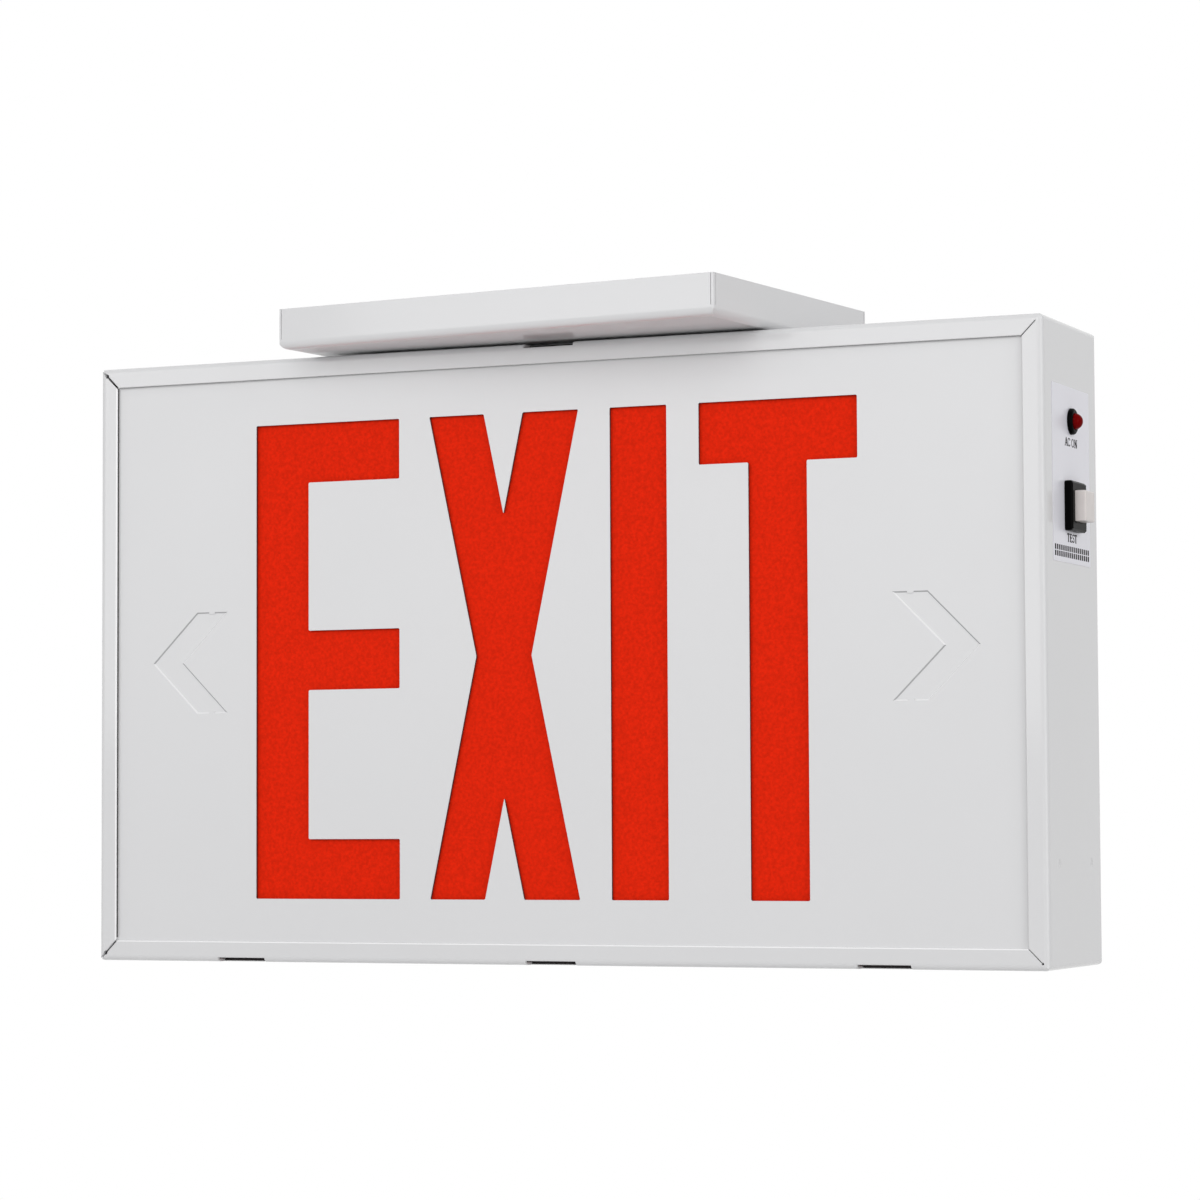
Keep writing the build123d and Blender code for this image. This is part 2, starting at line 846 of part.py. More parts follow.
def make_battery_tie():
    """Strap round the pack, the upright and the shelf."""
    y0, y1 = bracket_front, battery_y + cell_r
    z0, z1 = shelf_z, battery_z + battery_h
    inner = rectangle(y0, y1, z0, z1)
    top = inner.vertices().group_by(Axis.Y)[-1]
    inner = fillet(top, tie_corner_r)
    outer = rectangle(y0 - tie_t, y1 + tie_t, z0 - tie_t, z1 + tie_t)
    outer = fillet(outer.vertices().group_by(Axis.Y)[-1], tie_corner_r + tie_t)
    outer = fillet(outer.vertices().group_by(Axis.Y)[0], tie_foot_r)
    plane = Plane((tie_x - tie_w / 2, 0, 0), x_dir=(0, 1, 0), z_dir=(1, 0, 0))
    return extrude(plane.location * (outer - inner), tie_w)


# Right end


def make_side_label():
    y0, y1 = panel_y - label_d / 2, panel_y + label_d / 2
    label = block(half_w, label_face, y0, y1, label_top - label_h, label_top)
    side = body_w / 2 + panel_hole_clear
    label -= square_bar(half_w - 1, label_face + 1, 2 * side)
    return label - rod(bezel_body_r + panel_hole_clear, 3, (half_w - 1, panel_y, indicator_z), (1, 0, 0))


def make_indicator_bezel():
    centre = (panel_y, indicator_z)
    ring = rod(bezel_ring_r, bezel_ring_t, (label_face, *centre), (1, 0, 0))
    ring = chamfer(ring.edges().filter_by(GeomType.CIRCLE).group_by(Axis.X)[-1], bezel_ring_edge)
    back = half_w - sheet_t - bezel_body_l
    body = rod(bezel_body_r, label_face - back, (back, *centre), (1, 0, 0))
    length = label_face + bezel_ring_t - back
    bore = rod(lamp_r + lamp_clear, length + 2, (back - 1, *centre), (1, 0, 0))
    return ring + body - bore


def make_indicator_lamp():
    """Five millimetre lamp: a round body with a domed end, a flange and two pins."""
    dome_x = half_w + lamp_sphere_out
    start = dome_x - lamp_l
    centre = (panel_y, indicator_z)
    body = rod(lamp_r, lamp_l, (start, *centre), (1, 0, 0))
    body += Pos(dome_x, *centre) * Sphere(lamp_r)
    body += rod(lamp_flange_r, lamp_flange_t, (start - lamp_flange_t, *centre), (1, 0, 0))
    half = lamp_pin_w / 2
    back = start - lamp_flange_t
    for side in (-1, 1):
        z = indicator_z + side * lamp_pin_pitch / 2
        body += block(back - lamp_pin_l, back, panel_y - half, panel_y + half, z - half, z + half)
    return body


def square_bar(x0, x1, width):
    """Bar of square section along x, centred on the switch."""
    half = width / 2
    return block(x0, x1, panel_y - half, panel_y + half, switch_z - half, switch_z + half)


def blade_slots(clear):
    """The two contact blades, grown by clear for the slots that they sit in."""
    blades = []
    for side in (-1, 1):
        y = panel_y + side * blade_pitch / 2
        ht, hw = blade_t / 2 + clear, blade_w / 2 + clear
        blades.append(block(blade_back, blade_front, y - ht, y + ht, switch_z - hw, switch_z + hw))
    return blades


def make_switch_body():
    bezel = square_bar(label_face, bezel_face, bezel_w)
    bezel = chamfer(bezel.edges().group_by(Axis.X)[-1] + bezel.edges().filter_by(Axis.X), bezel_edge)
    body = square_bar(body_back, label_face, body_w)
    shape = bezel + body
    shape -= square_bar(cavity_back, lip_back, cavity_w)
    shape -= square_bar(lip_back - 1, bezel_face + 1, button_w + 2 * button_clear)
    for blade in blade_slots(blade_clear):
        shape -= blade
    return shape


def make_test_button():
    head = square_bar(flange_front, bezel_face + button_proud, button_w)
    head = fillet(head.edges().group_by(Axis.X)[-1], button_edge_r)
    flange = square_bar(flange_back, flange_front, cavity_w - 2 * button_clear)
    peg = rod(peg_r, peg_l, (flange_back - peg_l, panel_y, switch_z), (1, 0, 0))
    return head + flange + peg


def make_contact_bridge():
    half, high = bridge_l / 2, bridge_h / 2
    x1 = bridge_back + bridge_t
    return block(bridge_back, x1, panel_y - half, panel_y + half, switch_z - high, switch_z + high)


def make_button_spring():
    """Coil spring between the cavity's floor and the button's flange."""
    free = flange_back - cavity_back - 2 * spring_wire_r
    steps = spring_turns * spring_sides
    points = []
    for step in range(steps + 1):
        angle = 2 * math.pi * step / spring_sides
        points.append((spring_r * math.cos(angle), spring_r * math.sin(angle), free * step / steps))
    coil = Polyline(*points)
    section = Plane(points[0], z_dir=coil % 0).location * RegularPolygon(spring_wire_r, wire_sides)
    wire = sweep(section, coil, transition=Transition.RIGHT)
    place = Plane((cavity_back + spring_wire_r, panel_y, switch_z), z_dir=(1, 0, 0))
    return place.location * wire


# Leads


def lead(points, bends):
    """Lead of eight-sided section along straight runs joined by arcs."""
    path = FilletPolyline(*points, radius=bends)
    first = Vector(points[1]) - Vector(points[0])
    section = Plane(points[0], z_dir=first).location * RegularPolygon(lead_r, lead_sides)
    return sweep(section, path)


def header_place(index):
    """Where lead number index leaves the header, counted from the bottom."""
    z = board_bottom + header_z + (index - 2) * header_pitch
    return (board_left + header_x, header_top, z)


def make_battery_lead():
    x, y, z = header_place(0)
    rise = y + lead_rise
    top = battery_z + battery_h
    enter_x = battery_x0 + battery_lead_side
    route = [
        (x, y, z),
        (x, rise, z),
        (x + lead_step, rise, z - battery_lead_drop),
        (enter_x, battery_y, top + battery_lead_end),
        (enter_x, battery_y, top),
    ]
    return lead(route, small_lead_bend)


def make_switch_lead():
    x, y, z = header_place(2)
    rise = y + lead_rise
    end = blade_back - plug_l / 2
    route = [
        (x, y, z),
        (x, rise, z),
        (x + lead_step, rise, z + switch_lead_lift),
        (end - plug_lead_end, panel_y, switch_z),
        (end, panel_y, switch_z),
    ]
    y0, y1 = panel_y - plug_w / 2, panel_y + plug_w / 2
    plug = block(end, end + plug_l, y0, y1, switch_z - plug_h / 2, switch_z + plug_h / 2)
    for blade in blade_slots(blade_clear):
        plug -= blade
    return lead(route, small_lead_bend) + plug


def make_indicator_lead():
    x, y, z = header_place(3)
    rise = y + indicator_lead_rise
    pin_end = half_w + lamp_sphere_out - lamp_l - lamp_flange_t - lamp_pin_l
    end = pin_end - sleeve_l
    at = (panel_y, indicator_z)
    route = [
        (x, y, z),
        (x, rise, z),
        (x + lead_step, rise, z + indicator_lead_lift),
        (end - sleeve_lead_end, *at),
        (end, *at),
    ]
    return lead(route, lead_bend) + rod(sleeve_r, sleeve_l, (end, *at), (1, 0, 0))


def light_lead(index, hole, rise, board_z):
    """Lead from the header through the pan's floor to a light board's face."""
    start = header_place(index)
    front, back = light_board_y()
    middle = (front + back) / 2
    x, z = hole
    route = [start, (start[0], rise, start[2]), (x, rise, z), (x, middle, z), (x, middle, board_z)]
    return lead(route, lead_bend)


def make_upper_light_lead():
    hole = light_lead_places()[0]
    return light_lead(4, hole, header_top + upper_lead_rise, pan_z1 - light_board_t)


def make_lower_light_lead():
    hole = light_lead_places()[1]
    return light_lead(1, hole, header_top + lower_lead_rise, pan_z0 + light_board_t)


# Stem, nuts, crossbar and canopy


def on_stem(z):
    return (stem_x, stem_y, z)


def make_stem():
    tube = rod(stem_r, stem_top - stem_bottom, on_stem(stem_bottom), (0, 0, 1))
    tube = chamfer(tube.edges().filter_by(GeomType.CIRCLE), stem_edge)
    return tube - rod(stem_bore_r, stem_top - stem_bottom, on_stem(stem_bottom), (0, 0, 1))


def lock_nut(z):
    """Hexagon nut on the stem, with its lower face at z."""
    hexagon = RegularPolygon(nut_across / 2, 6, major_radius=False) - Circle(stem_r + thread_clear)
    return Pos(*on_stem(z)) * extrude(hexagon, nut_t)


def make_lock_nuts():
    lower = lock_nut(housing_h - sheet_t - nut_t)
    upper = lock_nut(canopy_z + canopy_t + canopy_gap)
    return group([lower, upper])


def make_spacer_washer():
    ring = Circle(washer_r) - Circle(stem_r + stem_clear)
    return Pos(*on_stem(housing_h)) * extrude(ring, washer_t)


def make_crossbar():
    """Strap on the stem, with a slot at each end for the screws of a ceiling box."""
    strap = Rectangle(crossbar_l, crossbar_w)
    strap = chamfer(strap.vertices(), crossbar_corner)
    strap -= Circle(stem_r + thread_clear)
    for side in (-1, 1):
        slot = SlotOverall(crossbar_slot_l, 2 * crossbar_slot_r)
        strap -= Pos(side * crossbar_slot_spacing / 2, 0) * slot
    strap -= Pos(ground_screw_x, 0) * Circle(ground_screw_r + thread_clear)
    return Pos(*on_stem(crossbar_z)) * extrude(strap, crossbar_t)


def make_ground_screw():
    at = (stem_x + ground_screw_x, stem_y)
    shank = rod(ground_screw_r, ground_screw_l, (*at, crossbar_z - ground_screw_l + crossbar_t), (0, 0, 1))
    head = rod(ground_head_r, ground_head_h, (*at, crossbar_z - ground_head_h), (0, 0, 1))
    return shank + head


def make_canopy():
    """Folded pan, open at the top, with a seam beside each corner."""
    hw, hd, t = canopy_w / 2, canopy_d / 2, canopy_t
    outer = block(-hw, hw, -hd, hd, 0, canopy_h)
    foot = outer.edges().group_by(Axis.Z)[0]
    bends = [(foot.filter_by(axis), canopy_bend_r) for axis in (Axis.X, Axis.Y)]
    outer = folded(outer, bends + [(outer.edges().filter_by(Axis.Z), canopy_corner_r)])
    inner = block(-hw + t, hw - t, -hd + t, hd - t, t, canopy_h + canopy_bend_r)
    foot = inner.edges().group_by(Axis.Z)[0]
    inner = folded(inner, [(foot.filter_by(axis), canopy_bend_r - t) for axis in (Axis.X, Axis.Y)])
    pan = outer - inner
    pan -= rod(stem_r + canopy_hole_clear, 4 * t, (0, 0, -t), (0, 0, 1))
    foot = canopy_bend_r + seam_foot
    for sx in (-1, 1):
        for sy in (-1, 1):
            x0, x1 = sx * (hw - seam_front - seam_w), sx * (hw - seam_front)
            pan -= block(x0, x1, sy * (hd - seam_depth), sy * (hd + t), foot, canopy_h + 1)
            y0, y1 = sy * (hd - seam_side - seam_w), sy * (hd - seam_side)
            pan -= block(sx * (hw - seam_depth), sx * (hw + t), y0, y1, foot, canopy_h + 1)
    return Pos(*on_stem(canopy_z)) * Rot(0, 0, canopy_turn) * pan


nodes = {
    "housing": make_housing(),
    "end_cap": make_end_cap(),
    "end_cap_screws": make_end_cap_screws(),
    "face_plate": make_face_plate(),
    "red_diffuser": make_red_diffuser(),
    "upper_face_rail": face_rail([slot_shift]),
    "lower_face_rail": flipped(face_rail(slot_places)),
    "back_plate": make_back_plate(),
    "upper_back_rail": back_rail(),
    "lower_back_rail": flipped(back_rail()),
    "reflector_pan": make_reflector_pan(),
    "upper_light_board": make_light_board(),
    "lower_light_board": flipped(make_light_board()),
    "upper_leds": make_leds(),
    "lower_leds": group([flipped(led) for led in make_leds().solids()]),
    "circuit_board": make_circuit_board(),
    "board_spacers": make_board_spacers(),
    "board_screws": make_board_screws(),
    "transformer_core": make_transformer_core(),
    "transformer_winding": make_transformer_winding(),
    "capacitors": make_capacitors(),
    "heat_sink": make_heat_sink(),
    "regulator": make_regulator(),
    "supply_terminals": make_supply_terminals(),
    "lead_header": make_lead_header(),
    "battery_bracket": make_battery_bracket(),
    "battery_pack": make_battery_pack(),
    "battery_tie": make_battery_tie(),
    "side_label": make_side_label(),
    "indicator_bezel": make_indicator_bezel(),
    "indicator_lamp": make_indicator_lamp(),
    "switch_body": make_switch_body(),
    "test_button": make_test_button(),
    "contact_bridge": make_contact_bridge(),
    "button_spring": make_button_spring(),
    "switch_terminals": group(blade_slots(0)),
    "battery_lead": make_battery_lead(),
    "switch_lead": make_switch_lead(),
    "indicator_lead": make_indicator_lead(),
    "upper_light_lead": make_upper_light_lead(),
    "lower_light_lead": make_lower_light_lead(),
    "stem": make_stem(),
    "lock_nuts": make_lock_nuts(),
    "spacer_washer": make_spacer_washer(),
    "crossbar": make_crossbar(),
    "ground_screw": make_ground_screw(),
    "canopy": make_canopy(),
}

os.makedirs("parts", exist_ok=True)
for name, shape in nodes.items():
    export_step(shape, f"parts/{name}.step")
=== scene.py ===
"""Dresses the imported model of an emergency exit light: paint, panel, print, hardware, lamps and stage."""

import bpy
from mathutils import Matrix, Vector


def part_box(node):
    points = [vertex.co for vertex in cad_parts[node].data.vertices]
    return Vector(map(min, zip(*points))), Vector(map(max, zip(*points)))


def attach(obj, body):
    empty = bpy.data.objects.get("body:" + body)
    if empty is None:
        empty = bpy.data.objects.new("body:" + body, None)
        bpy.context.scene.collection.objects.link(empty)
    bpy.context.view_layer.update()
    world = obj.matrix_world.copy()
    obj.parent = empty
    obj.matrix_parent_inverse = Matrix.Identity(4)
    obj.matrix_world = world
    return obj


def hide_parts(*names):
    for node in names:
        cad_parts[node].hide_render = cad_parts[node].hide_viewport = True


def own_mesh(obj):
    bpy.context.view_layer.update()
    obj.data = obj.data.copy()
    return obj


bl_info = {
    "name": "Emergency exit light",
    "version": (1, 0, 0),
    "blender": (4, 5, 0),
    "location": "3D View > Sidebar > Exit light",
    "description": "Finishes and small parts of a ceiling-hung emergency exit light",
    "category": "Object",
}

import math

import bmesh
import bpy
import numpy as np
from bpy.props import FloatProperty, FloatVectorProperty, IntProperty, PointerProperty
from bpy.types import Operator, Panel, PropertyGroup
from mathutils import Matrix, Vector

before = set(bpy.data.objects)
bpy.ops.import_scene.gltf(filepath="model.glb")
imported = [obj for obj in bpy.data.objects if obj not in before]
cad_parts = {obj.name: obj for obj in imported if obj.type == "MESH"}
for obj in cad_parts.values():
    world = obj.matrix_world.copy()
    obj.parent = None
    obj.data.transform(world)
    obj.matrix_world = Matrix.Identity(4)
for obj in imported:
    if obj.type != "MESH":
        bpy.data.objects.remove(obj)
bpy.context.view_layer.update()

MM = 0.001

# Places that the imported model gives
LABEL_FACE_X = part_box("side_label")[1].x
RING_LOW, RING_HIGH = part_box("indicator_bezel")
LAMP_LOW, LAMP_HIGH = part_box("indicator_lamp")
STEM_LOW, STEM_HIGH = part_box("stem")
LAMP_MIDDLE = (RING_LOW + RING_HIGH) / 2

# Measures of the part's sheet metal: lips, thickness, bends and the depth of the knock-outs' shoulders
LIP_W = 6.5 * MM
SHEET_T = 1.0 * MM
BEND_ZONE = 2.2 * MM
SHOULDER_DEPTH = 0.3 * MM
LEGEND_HALF_W = 105 * MM

# Paint on the edges: how deep it reaches round them, the widths of the painted highlights along two lips, and
# which way the knock-outs' shoulders face where they get painted shade (down) or painted highlight (up)
PAINT_WRAP = 0.06 * MM
PAINT_SKIN = 0.02 * MM
LOWER_HIGHLIGHT_W = 0.35 * MM
LEFT_HIGHLIGHT_W = 0.6 * MM
FACING_DOWN = (-0.8, -0.2)
FACING_UP = (0.2, 0.8)

# Spring of the test button, as in the part
SPRING_WIRE_R = 0.25 * MM
SPRING_TURNS = 5

# Side label: feet of the captions, gap between words in letter heights, and the rows of bars
LAMP_CAPTION_FOOT = 156.4 * MM
SWITCH_CAPTION_FOOT = 127.5 * MM
WORD_GAP = 0.3
BAR_FEET = (122.7 * MM, 124.6 * MM)
BAR_FIRST_Y, BAR_LAST_Y = -17.6 * MM, 16.4 * MM
BAR_H = 1.6 * MM
BAR_W = 1.2 * MM

# Blender's wave texture has this many waves in 2 pi units at scale 1
WAVES_IN_CIRCLE = 20

# Points of a new piece that are nearer than this become one, and edges sharper than this stay sharp
MERGE_DISTANCE = 1e-7
CREASE = math.radians(35)


# Settings


class ViewSettings(PropertyGroup):
    """Camera that sees the sign as the photograph does."""

    position: FloatVectorProperty(
        name="Camera position",
        description="Where the camera stands",
        default=(0.4855, -1.09065, 0.0447),
        subtype="TRANSLATION",
        unit="LENGTH",
    )
    aim: FloatVectorProperty(
        name="Camera aim",
        description="Point that the camera looks at",
        default=(0.0177, -0.02675, 0.11291),
        subtype="TRANSLATION",
        unit="LENGTH",
    )
    roll: FloatProperty(
        name="Camera roll",
        description="Turn of the camera about its own line of sight",
        default=math.radians(-0.278),
        subtype="ANGLE",
        unit="ROTATION",
    )
    lens: FloatProperty(
        name="Focal length",
        description="Focal length in millimetres on the sensor below",
        default=112.78,
        min=10.0,
    )
    sensor: FloatProperty(
        name="Sensor width",
        description="Width of the camera's sensor in millimetres",
        default=36.0,
        min=5.0,
    )


class StudioSettings(PropertyGroup):
    """Lamps, surroundings and floor."""

    sky: FloatProperty(
        name="Surrounding light",
        description="Strength of the even white light from all round",
        default=0.52,
        min=0.0,
    )
    key_power: FloatProperty(
        name="Key lamp power",
        description="Power of the large lamp in front, to the left",
        default=6.4,
        min=0.0,
        unit="POWER",
    )
    fill_power: FloatProperty(
        name="Fill lamp power",
        description="Power of the large lamp in front, higher and to the right",
        default=7.9,
        min=0.0,
        unit="POWER",
    )
    side_power: FloatProperty(
        name="Side lamp power",
        description="Power of the lamp on the right",
        default=5.0,
        min=0.0,
        unit="POWER",
    )
    back_power: FloatProperty(
        name="Back lamp power",
        description="Power of the lamp behind, which lights the back of the sign",
        default=14.0,
        min=0.0,
        unit="POWER",
    )
    floor_drop: FloatProperty(
        name="Floor drop",
        description="How far the floor lies below the hanging sign",
        default=1.3,
        min=0.05,
        unit="LENGTH",
    )
    floor_radius: FloatProperty(
        name="Floor radius",
        description="Radius of the round floor",
        default=4.0,
        min=1.0,
        unit="LENGTH",
    )
    floor_glow: FloatProperty(
        name="Floor glow",
        description="Added white of the floor as the camera and reflections see it",
        default=0.75,
        min=0.0,
    )


class PaintSettings(PropertyGroup):
    """Stoved white paint on the sheet metal."""

    colour: FloatVectorProperty(
        name="Paint colour",
        description="White of the housing, the plates and the canopy",
        default=(0.74, 0.74, 0.75),
        subtype="COLOR",
        min=0.0,
        max=1.0,
    )
    # Near black on the cut edges: partly bare steel, partly painted shade where the edges and gaps lie in
    # shade
    cut_steel_and_shade: FloatVectorProperty(
        name="Cut edge colour",
        description="Bare steel on the sheared edges of the legend and the lips",
        default=(0.05, 0.045, 0.045),
        subtype="COLOR",
        min=0.0,
        max=1.0,
    )
    # Painted highlight: near-white line along the inner edges of the left and the lower lip
    lip_edge_highlight: FloatVectorProperty(
        name="Paint bead colour",
        description="Thick paint along the inner edges of the left and the lower lip",
        default=(0.99, 0.99, 1.0),
        subtype="COLOR",
        min=0.0,
        max=1.0,
    )
    # Painted shade: grey on the knock-outs' shoulders that face down
    shoulder_painted_shade: FloatVectorProperty(
        name="Thin paint colour",
        description="Steel showing through thin paint on the knock-outs' edges that face down",
        default=(0.42, 0.42, 0.43),
        subtype="COLOR",
        min=0.0,
        max=1.0,
    )
    # Painted highlight: near white on the knock-outs' shoulders that face up
    shoulder_painted_highlight: FloatVectorProperty(
        name="Pooled paint colour",
        description="Thick paint on the knock-outs' edges that face up",
        default=(0.85, 0.85, 0.86),
        subtype="COLOR",
        min=0.0,
        max=1.0,
    )
    roughness: FloatProperty(
        name="Paint roughness",
        description="How matt the paint is",
        default=0.10,
        min=0.0,
        max=1.0,
        subtype="FACTOR",
    )
    peel: FloatProperty(
        name="Peel depth",
        description="Depth of the fine orange peel",
        default=0.0035 * MM,
        min=0.0,
        unit="LENGTH",
    )
    wave: FloatProperty(
        name="Wave depth",
        description="Depth of the long waves of the thin sheet",
        default=0.04 * MM,
        min=0.0,
        unit="LENGTH",
    )


class LegendSettings(PropertyGroup):
    """Red panel that shows through the cut-out legend."""

    colour: FloatVectorProperty(
        name="Panel colour",
        description="Red of the unlit acrylic",
        default=(0.79, 0.021, 0.004),
        subtype="COLOR",
        min=0.0,
        max=1.0,
    )
    grain: FloatProperty(
        name="Grain size",
        description="Width of the acrylic's fine grain",
        default=0.9 * MM,
        min=0.1 * MM,
        unit="LENGTH",
    )


class PrintSettings(PropertyGroup):
    """Captions and bars on the side label."""

    ink: FloatVectorProperty(
        name="Ink colour",
        description="Dark ink of the captions and bars",
        default=(0.012, 0.008, 0.008),
        subtype="COLOR",
        min=0.0,
        max=1.0,
    )
    ink_depth: FloatProperty(
        name="Ink depth",
        description="Height of the ink above the label",
        default=0.03 * MM,
        min=0.0,
        unit="LENGTH",
    )
    lamp_caption_height: FloatProperty(
        name="Lamp caption height",
        description="Height of the letters under the lamp",
        default=2.6 * MM,
        min=0.5 * MM,
        unit="LENGTH",
    )
    switch_caption_height: FloatProperty(
        name="Switch caption height",
        description="Height of the letters under the button",
        default=2.6 * MM,
        min=0.5 * MM,
        unit="LENGTH",
    )
    bar_count: IntProperty(
        name="Bars in a row",
        description="Number of short bars in each row at the label's foot",
        default=17,
        min=1,
    )


class HardwareSettings(PropertyGroup):
    """Zinc-plated hardware and the thread of the stem."""

    zinc: FloatVectorProperty(
        name="Zinc colour",
        description="Colour of the bright zinc plate",
        default=(0.60, 0.61, 0.62),
        subtype="COLOR",
        min=0.0,
        max=1.0,
    )
    pitch: FloatProperty(
        name="Thread pitch",
        description="Rise of the stem's thread in one turn",
        default=1.41 * MM,
        min=0.2 * MM,
        unit="LENGTH",
    )
    thread_depth: FloatProperty(
        name="Thread depth",
        description="Height of the thread from root to crest",
        default=0.62 * MM,
        min=0.0,
        unit="LENGTH",
    )


# Meshes worked out with numpy


def grid_faces(rows, columns, wrap_rows=False):
    """Quads of a grid of points numbered row by row. Each row closes on itself, and wrapped rows also
    join the last row to the first."""
    i = np.arange(rows if wrap_rows else rows - 1)
    j = np.arange(columns)
    i, j = np.meshgrid(i, j, indexing="ij")
    next_i = (i + 1) % rows
    next_j = (j + 1) % columns
    corners = (i * columns + j, next_i * columns + j, next_i * columns + next_j, i * columns + next_j)
    return np.stack(corners, axis=-1).reshape(-1, 4)


def joined(pieces):
    """Points and faces of several pieces as one list of each."""
    points, faces, start = [], [], 0
    for piece_points, piece_faces in pieces:
        points.append(piece_points)
        faces.extend((piece_faces + start).tolist())
        start += len(piece_points)
    return np.concatenate(points), faces


def new_piece(name, points, faces):
    """Closed piece from points and faces: doubles merged, faces outwards, smooth below the crease angle."""
    mesh = bpy.data.meshes.new(name)
    mesh.from_pydata(points.tolist(), [], faces)
    work = bmesh.new()
    work.from_mesh(mesh)
    bmesh.ops.remove_doubles(work, verts=work.verts, dist=MERGE_DISTANCE)
    bmesh.ops.recalc_face_normals(work, faces=work.faces)
    work.to_mesh(mesh)
    work.free()
    mesh.polygons.foreach_set("use_smooth", [True] * len(mesh.polygons))
    mesh.set_sharp_from_angle(angle=CREASE)
    piece = bpy.data.objects.new(name, mesh)
    bpy.context.scene.collection.objects.link(piece)
    return piece


def turned(profile, centre, axis, steps, closed=False):
    """Surface of revolution: each profile point is a distance along the axis and a radius from it,
    and a point at angle a lies at centre + distance * axis + radius * (cos a * side + sin a * up)."""
    axis = Vector(axis)
    side = axis.orthogonal().normalized()
    up = axis.cross(side)
    angle = np.linspace(0, 2 * math.pi, steps, endpoint=False)
    distance, radius = np.array(profile, float).T
    along = distance[:, None, None] * np.array(axis)
    out = np.cos(angle)[None, :, None] * np.array(side) + np.sin(angle)[None, :, None] * np.array(up)
    points = np.array(centre) + along + radius[:, None, None] * out
    faces = grid_faces(len(profile), steps, wrap_rows=closed)
    return points.reshape(-1, 3), faces


def arc(centre, radius, start, end, steps):
    """Points on an arc of a profile, from angle start to angle end in degrees."""
    angle = np.radians(np.linspace(start, end, steps))
    return [(centre[0] + radius * math.cos(a), centre[1] + radius * math.sin(a)) for a in angle]


def ribbon(path, width, base, depth, closed=False):
    """Flat stroke on a plane of constant x. Each point of the path (y, z) is moved half the width to both
    sides, at right angles to the path, and stands from base to base + depth in x."""
    path = np.array(path, float)
    ahead = np.roll(path, -1, axis=0) - path
    behind = path - np.roll(path, 1, axis=0)
    if not closed:
        ahead[-1] = behind[-1]
        behind[0] = ahead[0]
    run = ahead / np.linalg.norm(ahead, axis=1, keepdims=True)
    run += behind / np.linalg.norm(behind, axis=1, keepdims=True)
    run /= np.linalg.norm(run, axis=1, keepdims=True)
    side = np.stack([-run[:, 1], run[:, 0]], axis=1) * width / 2
    left, right = path + side, path - side
    corners = []
    for edge, x in ((left, base), (right, base), (right, base + depth), (left, base + depth)):
        corners.append(np.column_stack([np.full(len(path), x), edge]))
    points = np.stack(corners, axis=1).reshape(-1, 3)
    faces = grid_faces(len(path), 4, wrap_rows=closed)
    if not closed:
        last = 4 * (len(path) - 1)
        faces = np.concatenate([faces, [[3, 2, 1, 0]], [[last, last + 1, last + 2, last + 3]]])
    return points, faces


def box_piece(low, high):
    """Points and faces of a plain block between two corners."""
    low, high = np.array(low, float), np.array(high, float)
    ends = np.array([[0, 0], [1, 0], [1, 1], [0, 1]])
    ring = low[:2] + ends * (high[:2] - low[:2])
    points = np.concatenate([np.column_stack([ring, np.full(4, z)]) for z in (low[2], high[2])])
    faces = np.concatenate([grid_faces(2, 4), [[3, 2, 1, 0]], [[4, 5, 6, 7]]])
    return points, faces


# Finishes


